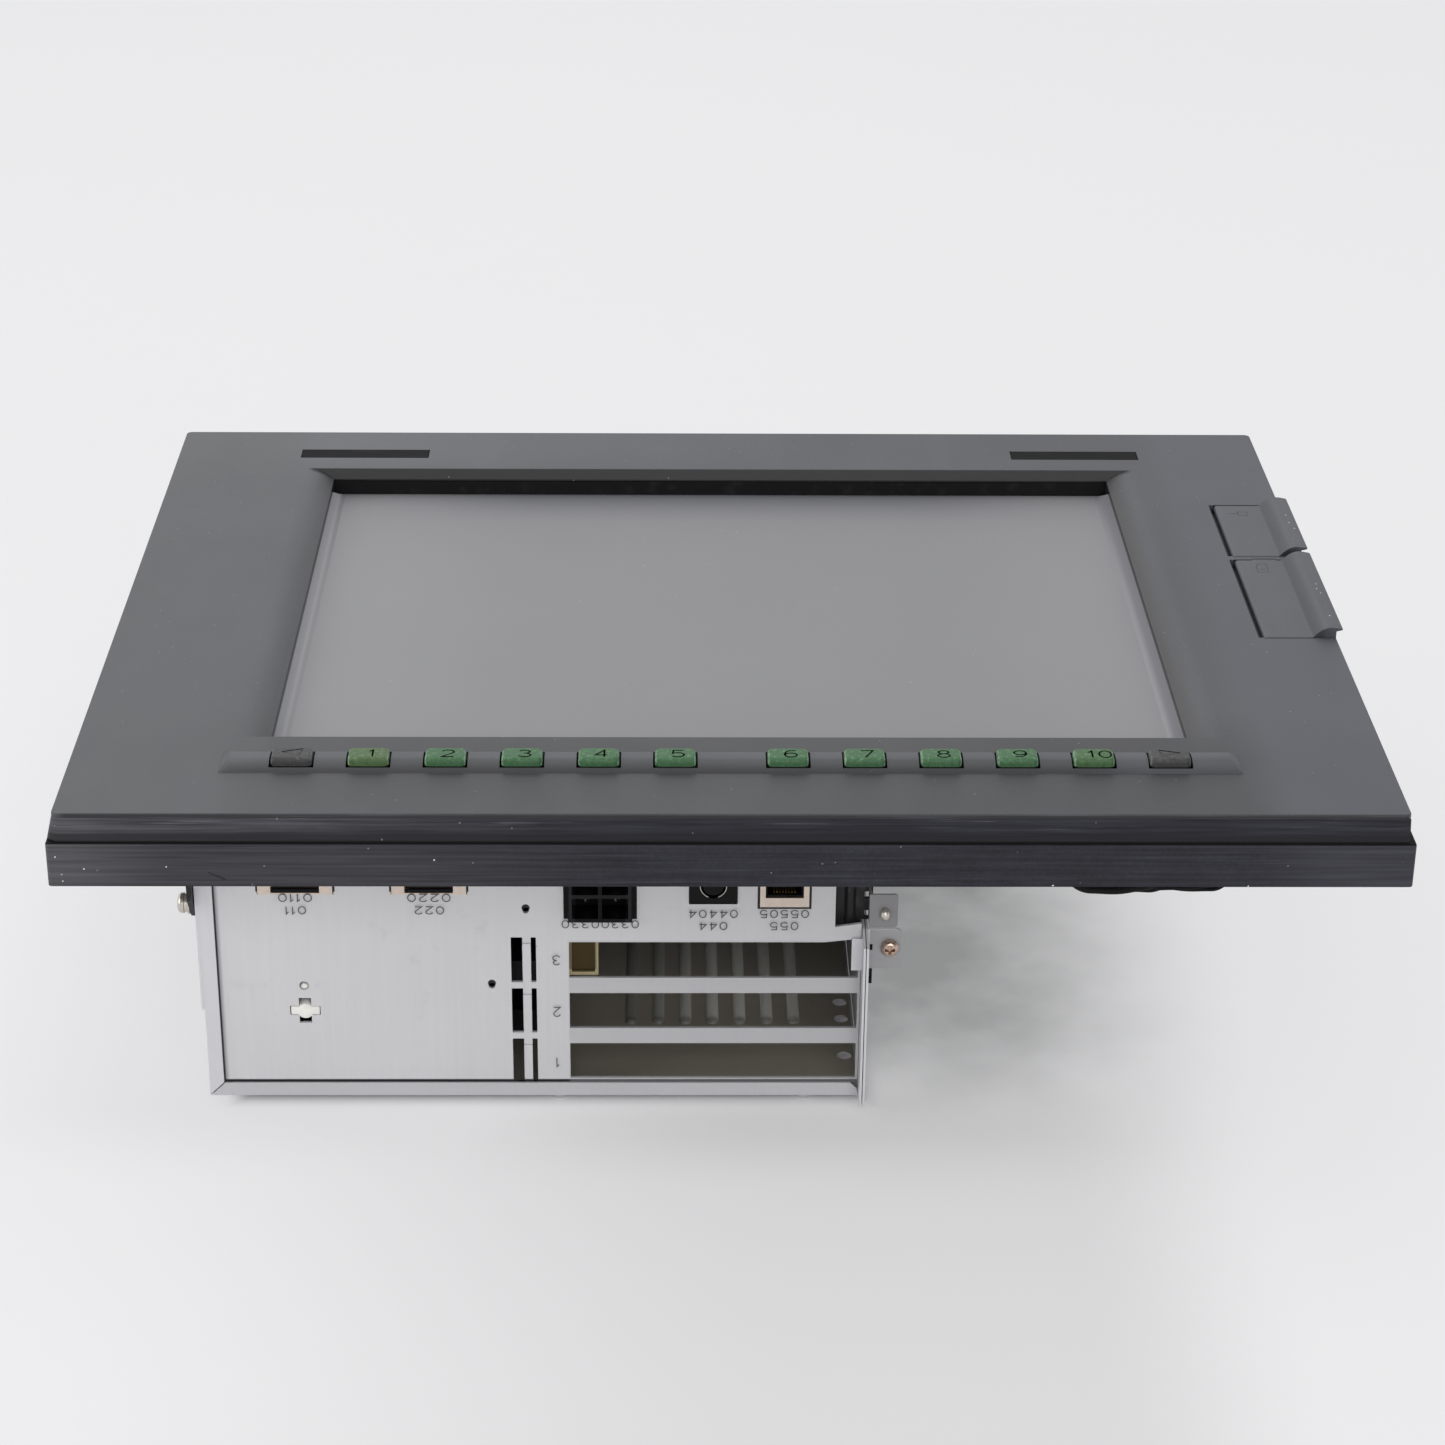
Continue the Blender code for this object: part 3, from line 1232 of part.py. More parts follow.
def connector_plate():
    """The plate towards the operator: card slots, tang holes, connector holes and a cross cut-out."""
    notch_left = CASE_RIGHT - NOTCH_WIDTH
    outline = [
        (PLATE_LEFT, WALL_FOOT), (PLATE_RIGHT, WALL_FOOT), (PLATE_RIGHT, NOTCH_FLOOR + NOTCH_RISE),
        (notch_left, NOTCH_FLOOR), (notch_left, PLATE_TOP), (PLATE_LEFT, PLATE_TOP),
    ]
    plate = prism("connector_plate", outline, PLATE_FRONT, PLATE_BACK, "Y", "zinc_sheet")
    near = PLATE_FRONT - OVERRUN
    far = PLATE_BACK + OVERRUN
    holes = []
    for floor in SLOT_FLOORS:
        if floor != SLOT_FLOORS[-1]:
            holes.append(((SLOT_LEFT, near, floor), (SLOT_RIGHT, far, floor + SLOT_HEIGHT)))
        low = floor - TANG_DROP
        holes.append(((TANG_LEFT, near, low), (TANG_LEFT + TANG_WIDE, far, low + TANG_HEIGHT)))
        holes.append(((TANG_RIGHT - TANG_NARROW, near, low), (TANG_RIGHT, far, low + TANG_HEIGHT)))
    for left, right, foot in connector_openings():
        holes.append(((left - GAP, near, foot - GAP), (right + GAP, far, PLATE_TOP + OVERRUN)))
    cut(plate, blocks("plate_openings", holes))
    floor = SLOT_FLOORS[-1]
    top = floor + SLOT_HEIGHT
    bend = SLOT_RIGHT - SLOT_LENGTH * SLOT_BEND_SHARE
    end = (SLOT_RIGHT, top + NOTCH_RISE)
    outline = [(SLOT_LEFT, floor), (SLOT_RIGHT, floor), end, (bend, top), (SLOT_LEFT, top)]
    cut(plate, prism("upper_slot", outline, near, far, "Y"))
    middle = (near + far) / 2
    round_holes = [
        (CASE_LEFT + CASE_WIDTH * UPPER_HOLE_SHARE, middle, CASE_TOP - UPPER_HOLE_DROP),
        (CASE_LEFT + CASE_WIDTH * LOWER_HOLE_SHARE, middle, CASE_TOP - LOWER_HOLE_DROP),
    ]
    cut(plate, rods("plate_round_holes", round_holes, SMALL_HOLE_RADIUS, far - near, "Y", sides=SMALL_SIDES))
    cross_x = CASE_LEFT + CASE_WIDTH * CROSS_SHARE
    light_hole = (cross_x, middle, CASE_TOP - CROSS_HOLE_DROP)
    cut(plate, rods("light_hole", [light_hole], CROSS_HOLE_RADIUS, far - near, "Y", sides=SMALL_SIDES))
    cut(plate, cross_cutter(cross_x, CASE_TOP - CROSS_DROP, near, far))
    join(plate, tang_bridges())
    return plate


def cross_cutter(x, z, near, far):
    """A plus-shaped cut-out."""
    a = CROSS_LONG / 2
    b = CROSS_TALL / 2
    u = CROSS_STEM / 2
    v = CROSS_ARM / 2
    corner = [(a, v), (u, v), (u, b)]
    outline = []
    for sx, sz, pairs in ((1, 1, corner), (-1, 1, corner[::-1]), (-1, -1, corner), (1, -1, corner[::-1])):
        outline += [(x + sx * px, z + sz * pz) for px, pz in pairs]
    return prism("plate_cross", outline, near, far, "Y")


def tang_bridges():
    """The bars between each pair of tang holes, pressed out a little at their middle."""
    left = TANG_LEFT + TANG_WIDE
    right = left + TANG_BRIDGE
    back = PLATE_FRONT + OVERLAP
    bars = []
    for floor in SLOT_FLOORS:
        low = floor - TANG_DROP + BRIDGE_FOOT
        high = low + TANG_HEIGHT - 2 * BRIDGE_FOOT
        bars.append(((left, PLATE_FRONT - BRIDGE_RISE, low), (right, back, high)))
    return blocks("tang_bridges", bars)


def mainboard():
    """The main circuit board hung from the tray on posts, with its chips."""
    left = PLATE_LEFT + GAP
    right = CASE_RIGHT - NOTCH_WIDTH - OVERRUN
    near = PLATE_BACK + GAP
    far = near + BOARD_LENGTH
    board = block("mainboard", (left, near, BOARD_REAR), (right, far, BOARD_TOP), "board")
    height = CASE_TOP - BOARD_TOP + OVERLAP
    inset = BOARD_POST_INSET
    posts = [
        (x, y, CASE_TOP - height / 2)
        for x in (left + inset, right - inset) for y in (near + inset, far - inset)
    ]
    join(board, rods("board_posts", posts, BOARD_POST_RADIUS, height, "Z", sides=SMALL_SIDES))
    chips = []
    for i in range(CHIP_COUNT):
        x = TANG_RIGHT + CHIP_PITCH * i
        chips.append((
            (x, SINK_Y - CHIP_SIDE / 2, BOARD_REAR - CHIP_HEIGHT),
            (x + CHIP_SIDE, SINK_Y + CHIP_SIDE / 2, BOARD_REAR + OVERLAP),
        ))
    join(board, blocks("board_chips", chips))
    return board


def connector(name, hole, stand, finish_name):
    """A connector body that fills its hole in the plate and stands out of it."""
    left, right, foot = hole
    back = PLATE_BACK + CONNECTOR_DEPTH
    return block(name, (left, PLATE_FRONT - stand, foot), (right, back, CONNECTOR_TOP), finish_name)


def connectors():
    """The five connectors in a row under the mainboard."""
    holes = connector_openings()
    for name, hole in (("serial_connector_left", holes[0]), ("serial_connector_right", holes[1])):
        body = connector(name, hole, SHELL_STAND, "bright_steel")
        middle = (hole[0] + hole[1]) / 2
        half = SHELL_CORE_WIDTH / 2
        front = PLATE_FRONT - SHELL_STAND
        cut(body, block(
            name + "_mouth", (middle - half, front - OVERRUN, hole[2] + SHELL_STAND),
            (middle + half, front + SHELL_CORE_DEPTH, CONNECTOR_TOP - SHELL_CORE_DEPTH),
        ))
    power_connector(holes[2])
    keyboard_connector(holes[3])
    network_connector(holes[4])


def power_connector(hole):
    """A black block standing out of its flange, with two cavities side by side, one pair over the other."""
    foot = hole[2]
    body = connector("power_connector", hole, POWER_STAND, "black_plastic")
    middle_x = (hole[0] + hole[1]) / 2
    left = middle_x - POWER_FRONT_WIDTH / 2
    right = middle_x + POWER_FRONT_WIDTH / 2
    front = PLATE_FRONT - POWER_REACH
    join(body, block("power_front", (left, front, foot), (right, PLATE_BACK, CONNECTOR_TOP)))
    middle_z = (foot + CONNECTOR_TOP) / 2
    wall = POWER_WALL
    cavities = []
    for x0, x1 in ((left + wall, middle_x - wall / 2), (middle_x + wall / 2, right - wall)):
        for z0, z1 in ((foot + wall, middle_z - wall / 2), (middle_z + wall / 2, CONNECTOR_TOP - wall)):
            cavities.append(((x0, front - OVERRUN, z0), (x1, front + POWER_POCKET, z1)))
    cut(body, blocks("power_cavities", cavities))


def keyboard_connector(hole):
    """A round keyboard socket: a ring-shaped pocket round a core."""
    left, right, foot = hole
    body = connector("keyboard_connector", hole, KEYBOARD_STAND, "black_plastic")
    front = PLATE_FRONT - KEYBOARD_STAND
    centre = ((left + right) / 2, front + KEYBOARD_POCKET / 2 - OVERRUN / 2, (foot + CONNECTOR_TOP) / 2)
    pocket = rods("keyboard_ring", [centre], KEYBOARD_RING, KEYBOARD_POCKET + OVERRUN, "Y")
    cut(pocket, rods("keyboard_core", [centre], KEYBOARD_CORE, KEYBOARD_POCKET + 2 * OVERRUN, "Y"))
    cut(body, pocket)


def network_connector(hole):
    """A square metal shell with one mouth."""
    left, right, foot = hole
    body = connector("network_connector", hole, NETWORK_STAND, "bright_steel")
    middle = (left + right) / 2
    front = PLATE_FRONT - NETWORK_STAND
    half = NETWORK_HOLE_WIDTH / 2
    low = foot + NETWORK_HOLE_RISE
    cut(body, block(
        "network_mouth", (middle - half, front - OVERRUN, low),
        (middle + half, front + NETWORK_POCKET, low + NETWORK_HOLE_HEIGHT),
    ))


def riser_board():
    """The upright board beside the card space, with a slotted card connector for each slot."""
    right = TANG_LEFT - RISER_FROM_TANG
    left = right - RISER_THICK
    near = PLATE_BACK + RISER_START
    foot = COVER_IN + RISER_CLEAR_FLOOR
    riser = block("riser_board", (left, near, foot), (right, near + RISER_LENGTH, CONNECTOR_TOP), "board")
    bodies = []
    grooves = []
    start = PLATE_BACK + CARD_SOCKET_START
    reach = right + CARD_SOCKET_REACH
    for floor in SLOT_FLOORS:
        middle = floor + SLOT_HEIGHT / 2
        half = CARD_SOCKET_HEIGHT / 2
        slit = CARD_SOCKET_GROOVE / 2
        far = start + CARD_SOCKET_LENGTH
        root = reach - CARD_SOCKET_GROOVE_DEPTH
        bodies.append(((right - OVERLAP, start, middle - half), (reach, far, middle + half)))
        grooves.append(((root, start + half, middle - slit), (reach + OVERRUN, far - half, middle + slit)))
    join(riser, blocks("card_connectors", bodies))
    cut(riser, blocks("card_grooves", grooves))
    return riser


def slot_guide():
    """The amber sleeve behind the left end of the upper slot."""
    left = SLOT_LEFT - GAP
    top = SLOT_FLOORS[-1] + SLOT_HEIGHT + GUIDE_RISE
    near = PLATE_BACK + GAP
    low = (left, near, top - GUIDE_HEIGHT)
    high = (left + GUIDE_WIDTH, near + GUIDE_DEPTH, top)
    guide = block("slot_guide", low, high, "amber")
    wall = GUIDE_WALL
    cut(guide, block(
        "slot_guide_hollow", (low[0] + wall, low[1] - OVERRUN, low[2] + wall),
        (high[0] - wall, high[1] - wall, high[2] - wall),
    ))
    return guide


def heat_sink():
    """A finned block on the processor, its comb worked out from the fin count."""
    half = SINK_SIDE / 2
    pitch = (SINK_SIDE - FIN_THICK) / (FIN_COUNT - 1)
    root = SINK_TOP - SINK_BASE
    outline = [(SINK_X + half, SINK_TOP), (SINK_X - half, SINK_TOP)]
    for i in range(FIN_COUNT):
        left = SINK_X - half + pitch * i
        outline += [(left, root), (left, SINK_FOOT), (left + FIN_THICK, SINK_FOOT), (left + FIN_THICK, root)]
    outline = outline[:2] + outline[3:-1]
    return prism("heat_sink", outline, SINK_Y - half, SINK_Y + half, "Y", "aluminium")


def fan():
    """The square fan under the heat sink: a frame with struts and a hub, and a bladed rotor."""
    half = SINK_SIDE / 2
    centre = Vector((SINK_X, SINK_Y, 0))
    low = (SINK_X - half, SINK_Y - half, FAN_REAR)
    frame = block("fan_frame", low, (SINK_X + half, SINK_Y + half, FAN_TOP), "black_plastic")
    middle = (FAN_TOP + FAN_REAR) / 2
    cut(frame, rods(
        "fan_bore", [centre + Vector((0, 0, middle))], FAN_BORE_RADIUS, FAN_HEIGHT + 2 * OVERRUN, "Z",
        sides=2 * ROUND_SIDES,
    ))
    floor_top = FAN_REAR + FAN_FLOOR
    join(frame, strut_spider(floor_top))
    shaft_top = floor_top + SHAFT_LENGTH
    join(frame, rods(
        "fan_shaft", [centre + Vector((0, 0, (floor_top - OVERLAP + shaft_top) / 2))], SHAFT_RADIUS,
        SHAFT_LENGTH + OVERLAP, "Z", sides=SMALL_SIDES,
    ))
    fan_rotor(floor_top + GAP, FAN_TOP - GAP, shaft_top + GAP)


def strut_spider(floor_top):
    """The hub disc and the struts that hold it in the fan frame."""
    spider = rods(
        "fan_hub_disc", [(SINK_X, SINK_Y, (FAN_REAR + floor_top) / 2)], FAN_HUB_RADIUS, FAN_FLOOR, "Z"
    )
    inner = FAN_HUB_RADIUS - STRUT_WIDTH
    outer = FAN_BORE_RADIUS + STRUT_WIDTH / 2
    shape = bmesh.new()
    for i in range(STRUT_COUNT):
        turn = Matrix.Translation((SINK_X, SINK_Y, 0)) @ Matrix.Rotation(2 * pi * i / STRUT_COUNT, 4, "Z")
        low = (inner, -STRUT_WIDTH / 2, FAN_REAR)
        high = (outer, STRUT_WIDTH / 2, floor_top)
        bmesh.ops.create_cube(shape, size=1, matrix=turn @ block_matrix(low, high))
    join(spider, placed("fan_struts", from_bmesh("fan_struts", shape)))
    return spider


def fan_rotor(low, high, bore_top):
    """A hub with slanted blades, bored for the shaft. Its origin is on the shaft."""
    origin = (SINK_X, SINK_Y, low)
    hub_radius = FAN_HUB_RADIUS
    rotor = rods("fan_rotor", [(SINK_X, SINK_Y, (low + high) / 2)], hub_radius, high - low, "Z")
    tip = FAN_BORE_RADIUS - FAN_TIP_CLEARANCE
    root = hub_radius - OVERLAP * 2
    shape = bmesh.new()
    for i in range(BLADE_COUNT):
        turn = Matrix.Translation((SINK_X, SINK_Y, (low + high) / 2))
        turn = turn @ Matrix.Rotation(2 * pi * i / BLADE_COUNT, 4, "Z")
        pitch = Matrix.Rotation(radians(BLADE_ANGLE), 4, "X")
        corners = ((root, -BLADE_CHORD / 2, -BLADE_THICK / 2), (tip, BLADE_CHORD / 2, BLADE_THICK / 2))
        bmesh.ops.create_cube(shape, size=1, matrix=turn @ pitch @ block_matrix(*corners))
    join(rotor, placed("fan_blades", from_bmesh("fan_blades", shape)))
    cut(rotor, rods(
        "rotor_bore", [(SINK_X, SINK_Y, (low - OVERRUN + bore_top) / 2)], SHAFT_RADIUS + PIN_CLEARANCE,
        bore_top - low + OVERRUN, "Z", sides=SMALL_SIDES,
    ))
    mesh = baked_mesh("fan_rotor", rotor)
    placed("fan_rotor", mesh, "black_plastic", origin)


def disk_unit():
    """A slim disk on the rear cover, with a stepped lid."""
    left = CASE_LEFT + DISK_FROM_SIDE
    far = CASE_BACK - DISK_FROM_BACK
    low = COVER_IN + GAP
    high = low + DISK_HEIGHT
    near = far - DISK_LENGTH
    unit = block("disk_unit", (left, near, low), (left + DISK_WIDTH, far, high - DISK_LID_STEP), "aluminium")
    margin = DISK_LID_MARGIN
    lid_low = (left + margin, near + margin, low + SHEET)
    join(unit, block("disk_lid", lid_low, (left + DISK_WIDTH - margin, far - margin, high)))
    return unit


def backup_battery():
    """A wrapped cell lying on the rear cover, turned with a raised cap at each end."""
    half = BATTERY_LENGTH / 2
    rim = BATTERY_RADIUS
    neck = rim / 2
    step = half - BATTERY_CAP
    profile = [(0, half), (neck, half), (neck, step), (rim, step), (rim, -half), (0, -half)]
    centre = (
        CASE_LEFT + BATTERY_FROM_SIDE, CASE_FRONT + BATTERY_FROM_FRONT, COVER_IN + GAP + BATTERY_RADIUS,
    )
    return smooth(turned("backup_battery", profile, centre, "Y", "yellow_wrap"))


def slot_bracket():
    """The upright bracket that the cards' tabs screw to, with its small front tab."""
    outline = ledge_outline()
    front = outline[0][0]
    back = front + BRACKET_LENGTH
    outline[1:3] = [(back, COVER_OUT), (back, NOTCH_FLOOR)]
    bracket = prism("slot_bracket", outline, BRACKET_LEFT, BRACKET_RIGHT, "X", "zinc_sheet")
    tab_top = NOTCH_FLOOR - BRACKET_TAB_TOP
    tab_back = PLATE_FRONT - GAP
    join(bracket, block(
        "bracket_tab", (BRACKET_LEFT - BRACKET_TAB_WIDTH, tab_back - SHEET, tab_top - BRACKET_TAB_HEIGHT),
        (BRACKET_LEFT + OVERLAP, tab_back, tab_top),
    ))
    return bracket


def screw_profile(radius, height):
    """Across a pan head, from its crown down to its seat."""
    return [(0, height), (radius / 2, height), (radius, height / 2), (radius, 0), (0, 0)]


def tabs_and_screws():
    """The upper tab on its leg along the right wall, and the two screws on the right-hand tabs."""
    tab_front = CASE_FRONT + OVERLAP
    screw_x = CASE_RIGHT + TAB_SCREW_FROM_WALL
    screw_z = NOTCH_FLOOR - SIDE_TAB_TOP - TAB_SCREW_DROP
    smooth(turned(
        "slot_bracket_screw", screw_profile(SCREW_RADIUS, SCREW_HEIGHT),
        (screw_x, tab_front - GAP, screw_z), "Y", "bright_steel",
    ))
    left = CASE_RIGHT + GAP
    right = left + UPPER_TAB_WIDTH
    foot = NOTCH_FLOOR + GAP
    top = foot + UPPER_TAB_HEIGHT
    near = CASE_FRONT + OVERLAP
    corner = UPPER_TAB_CORNER
    outline = (
        [(left, foot)] + arc(right - corner, foot + corner, corner, 270, 360, ARC_STEPS)
        + arc(right - corner, top - corner, corner, 0, 90, ARC_STEPS) + [(left, top)]
    )
    tab = prism("case_tab", outline, near, near + SHEET, "Y", "zinc_sheet")
    back = PLATE_BACK + LEAD_PLATE_SET - GAP
    join(tab, block("case_tab_leg", (left, near, foot), (left + SHEET, back, top)))
    smooth(turned(
        "case_tab_screw", screw_profile(UPPER_SCREW_RADIUS, SCREW_HEIGHT),
        (right - UPPER_SCREW_FROM_RIGHT, near - GAP, foot + UPPER_SCREW_RISE), "Y", "bright_steel",
    ))


def lead_plate():
    """The black plate behind the notch, with a rounded lead guide and two small holes."""
    near = PLATE_BACK + LEAD_PLATE_SET
    far = near + LEAD_PLATE_THICK
    left = CASE_RIGHT - NOTCH_WIDTH + GAP
    right = left + LEAD_PLATE_WIDTH
    step = BRACKET_LEFT - GAP
    foot = NOTCH_FLOOR + GAP
    low = NOTCH_FLOOR - LEAD_PLATE_SINK
    outline = [(left, low), (step, low), (step, foot), (right, foot), (right, CASE_TOP), (left, CASE_TOP)]
    plate = prism("lead_plate", outline, near, far, "Y", "black_steel")
    height = CASE_TOP - low - 2 * OVERLAP
    centre = (left + LEAD_RIB_FROM_LEFT, near, (CASE_TOP + low) / 2)
    join(plate, rods("lead_rib", [centre], LEAD_RIB_RADIUS, height, "Z", sides=SMALL_SIDES))
    hole_right = right - LEAD_HOLE_FROM_RIGHT
    holes = []
    for drop in LEAD_HOLE_DROPS:
        top = CASE_TOP - drop
        low = (hole_right - LEAD_HOLE_WIDTH, near - OVERRUN, top - LEAD_HOLE_HEIGHT)
        holes.append((low, (hole_right, far + OVERRUN, top)))
    cut(plate, blocks("lead_holes", holes))
    return plate


def side_pieces():
    """The strap along the left wall, the black bracket on it and the bracket's screw."""
    block(
        "side_strap", (STRAP_LEFT, CASE_FRONT, CASE_TOP - STRAP_HEIGHT),
        (STRAP_RIGHT, CASE_FRONT + STRAP_LENGTH, CASE_TOP), "zinc_sheet",
    )
    near = CASE_FRONT - HOOK_BEFORE_CASE
    far = near + HOOK_LENGTH
    foot = CASE_TOP - HOOK_HEIGHT
    slant = (near + HOOK_SLANT_LENGTH, foot)
    outline = [(near, CASE_TOP), (near, foot + HOOK_SLANT_HEIGHT), slant, (far, foot), (far, CASE_TOP)]
    prism("side_bracket", outline, HOOK_LEFT, HOOK_RIGHT, "X", "black_steel")
    collar = WASHER_THICK + COLLAR_THICK
    height = collar + SIDE_SCREW_HEIGHT
    radius = SIDE_SCREW_RADIUS
    profile = [
        (0, height), (radius / 2, height), (radius, collar + SIDE_SCREW_HEIGHT / 2), (radius, collar),
        (COLLAR_RADIUS, collar), (COLLAR_RADIUS, WASHER_THICK), (WASHER_RADIUS, WASHER_THICK),
        (WASHER_RADIUS, 0), (0, 0),
    ]
    screw = turned("side_screw", profile, (0, 0, 0), "Z", "bright_steel")
    screw.data.transform(Matrix.Rotation(-pi / 2, 4, "Y"))
    screw.location = (HOOK_LEFT - GAP, CASE_FRONT + SIDE_SCREW_FROM_FRONT, CASE_TOP - SIDE_SCREW_DROP)
    smooth(screw)


def grommet_places():
    """The two grommets' places across the tray."""
    last = FRAME_RIGHT - GROMMET_FROM_RIGHT + GROMMET_SPREAD / 2
    return last - GROMMET_SPREAD, last


def grommets():
    """A rubber grommet at each end of the cables, under the tray."""
    for name, x in zip(("cable_grommet_left", "cable_grommet_right"), grommet_places()):
        top = TRAY_REAR - GAP
        foot = top - GROMMET_HEIGHT
        centre = (x, GROMMET_Y, (top + foot) / 2)
        grommet = rods(name, [centre], GROMMET_RADIUS, top - foot, "Z", "black_rubber")
        cut(grommet, rods(name + "_bore", [centre], GROMMET_BORE, top - foot + 2 * OVERRUN, "Z"))


def cable_route(x_left, x_right, y, drop, bend, sag):
    """Down out of the tray, round a bend, along in a slight bow, round again and back up into the tray."""
    top = TRAY_REAR + TRAY_SHEET + CABLE_TAIL
    low = TRAY_REAR - drop
    left = [(x, y, z) for x, z in arc(x_left + bend, low + bend, bend, 180, 270, CABLE_STEPS)]
    right = [(x, y, z) for x, z in arc(x_right - bend, low + bend, bend, 270, 360, CABLE_STEPS)]
    bow = []
    for i in range(1, CABLE_STEPS):
        t = i / CABLE_STEPS
        x = x_left + bend + (x_right - x_left - 2 * bend) * t
        bow.append((x, y, low - sag * sin(pi * t) ** 2))
    return [(x_left, y, top)] + left + bow + right + [(x_right, y, top)]


def cable(name, radius, route):
    """A round cable along a route."""
    curve = bpy.data.curves.new(name, "CURVE")
    curve.dimensions = "3D"
    curve.bevel_depth = radius
    curve.bevel_resolution = 2
    curve.use_fill_caps = True
    spline = curve.splines.new("POLY")
    spline.points.add(len(route) - 1)
    for point, place in zip(spline.points, route):
        point.co = (*place, 1)
    return smooth(placed(name, mesh_of_curve(name, curve), "black_rubber"))


def cables():
    """The thick bundle between the grommets and the thin lead beside it."""
    left, right = grommet_places()
    route = cable_route(left, right, GROMMET_Y, CABLE_DROP, CABLE_BEND, CABLE_SAG)
    cable("cable_bundle", CABLE_RADIUS, route)
    left, right = thin_places()
    route = cable_route(left, right, GROMMET_Y - THIN_SET, THIN_DROP, THIN_BEND, THIN_SAG)
    cable("thin_lead", THIN_RADIUS, route)


def thin_places():
    """Where the thin lead passes the tray floor."""
    start = grommet_places()[1] - THIN_BEFORE_GROMMET
    return start, start + THIN_SPREAD


def build_panel():
    """Makes every piece of the panel and its case."""
    front_bezel()
    mounting_frame()
    display_stack()
    labels()
    keys()
    key_switches()
    port_cover("usb_cover", USB_RECESS)
    port_cover("card_cover", CARD_RECESS)
    ports()
    rear_tray()
    rear_case()
    rear_cover()
    connector_plate()
    mainboard()
    connectors()
    riser_board()
    slot_guide()
    heat_sink()
    fan()
    disk_unit()
    backup_battery()
    slot_bracket()
    tabs_and_screws()
    lead_plate()
    side_pieces()
    grommets()
    cables()


build_panel()
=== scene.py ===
from functools import reduce
from math import cos, pi, radians, sin

import bmesh
import bpy
from mathutils import Matrix, Vector


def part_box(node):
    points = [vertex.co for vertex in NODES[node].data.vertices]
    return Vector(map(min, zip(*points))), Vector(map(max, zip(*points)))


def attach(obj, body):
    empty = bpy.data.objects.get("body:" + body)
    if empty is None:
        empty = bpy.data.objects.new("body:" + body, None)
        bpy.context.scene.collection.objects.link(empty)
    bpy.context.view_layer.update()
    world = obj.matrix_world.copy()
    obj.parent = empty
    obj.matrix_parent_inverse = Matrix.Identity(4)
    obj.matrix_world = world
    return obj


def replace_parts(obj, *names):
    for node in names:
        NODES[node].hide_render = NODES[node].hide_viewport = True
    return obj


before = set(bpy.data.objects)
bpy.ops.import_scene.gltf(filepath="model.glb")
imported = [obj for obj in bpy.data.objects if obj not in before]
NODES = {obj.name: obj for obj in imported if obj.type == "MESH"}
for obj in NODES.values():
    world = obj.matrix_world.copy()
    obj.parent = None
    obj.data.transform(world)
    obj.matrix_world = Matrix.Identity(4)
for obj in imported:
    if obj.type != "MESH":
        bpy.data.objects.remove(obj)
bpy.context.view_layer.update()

# Sizes of the panel that the new pieces are set out from
BEZEL_LOW, BEZEL_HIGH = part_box("front_bezel")
FRAME_LOW, FRAME_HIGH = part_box("mounting_frame")
BAR_RISE = 0.0028
BAR_END = 0.1697
BAR_SLOPE = 0.0038
BAR_HALF = 0.0077
FACE = BEZEL_HIGH.z - BAR_RISE
RIGHT = BEZEL_HIGH.x
NEAR = BEZEL_LOW.y
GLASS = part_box("touch_glass")[1].z
BAR_CROWN = NEAR + 0.0291 + BAR_HALF
WINDOW_RIGHT = 0.1557
WINDOW_NEAR = NEAR + 0.0587
WINDOW_FAR = WINDOW_NEAR + 0.2403
DISH_DEPTH = 0.0037
SIDE_DISH = 0.0118
END_DISH = 0.0024
LIP = FACE - DISH_DEPTH
SKIRT_CORNER = 0.0022
SKIN = 0.00003
SHARP = radians(38)

# The soft keys
KEY_COUNT = 12
KEY_NODES = [f"key_{i:02d}" for i in range(1, KEY_COUNT + 1)]
GREY_KEYS = (0, KEY_COUNT - 1)
KEY_HALF_X = 0.0068
KEY_HALF_Y = 0.0043
KEY_SHADOW = 0.0030
KEY_SLOT_HALF_X = 0.0074
KEY_SLOT_HALF_Y = 0.0049
KEY_FLANGE = 0.0012
KEY_FLANGE_THICK = 0.00115
KEY_CORNER = 0.0017
KEY_ROUNDING = (
    (0.0, None), (0.0, 0.0019), (0.00005, 0.0013), (0.00015, 0.0008), (0.00030, 0.00042), (0.00052, 0.00018),
    (0.00080, 0.00005), (0.0011, 0.0),
)
KEY_FIGURE_DEPTH = 0.00006
KEY_FIGURE_SIZE = (0.0046, 0.0054)
KEY_FIGURE_WEIGHT = 0.00062
KEY_FIGURE_SHIFTS = {10: 0.0020}

# The wave-shaped grip of the port covers
WAVE_START = 0.0084
WAVE_RUN = 0.0062
WAVE_RISE = 0.00375
WAVE_FALL = 0.00045
WAVE_FILLET = 0.0005
WAVE_CURVE = 575
LID_EDGE = 0.00018

# Printed figures on the connector plate
SLOT_FIGURE_SIZE = (0.0027, 0.0040)
SLOT_FIGURE_X = -0.0597
SLOT_FIGURE_FALLS = {"3": 0.0822, "2": 0.1029, "1": 0.1235}
PLATE_FIGURE_HEIGHT = 0.0032
INK_DEPTH = 0.00004
INK_WEIGHT = 0.00036

# The photograph's viewpoint, in the part's own frame
CAMERA_PLACE = (-0.02129, -1.13004, 0.63927)
CAMERA_YAW = radians(1.043)
CAMERA_PITCH = radians(25.937)
CAMERA_ROLL = radians(0.545)
FOCAL_SHARE = 3350 / 1445
SENSOR = 36.0

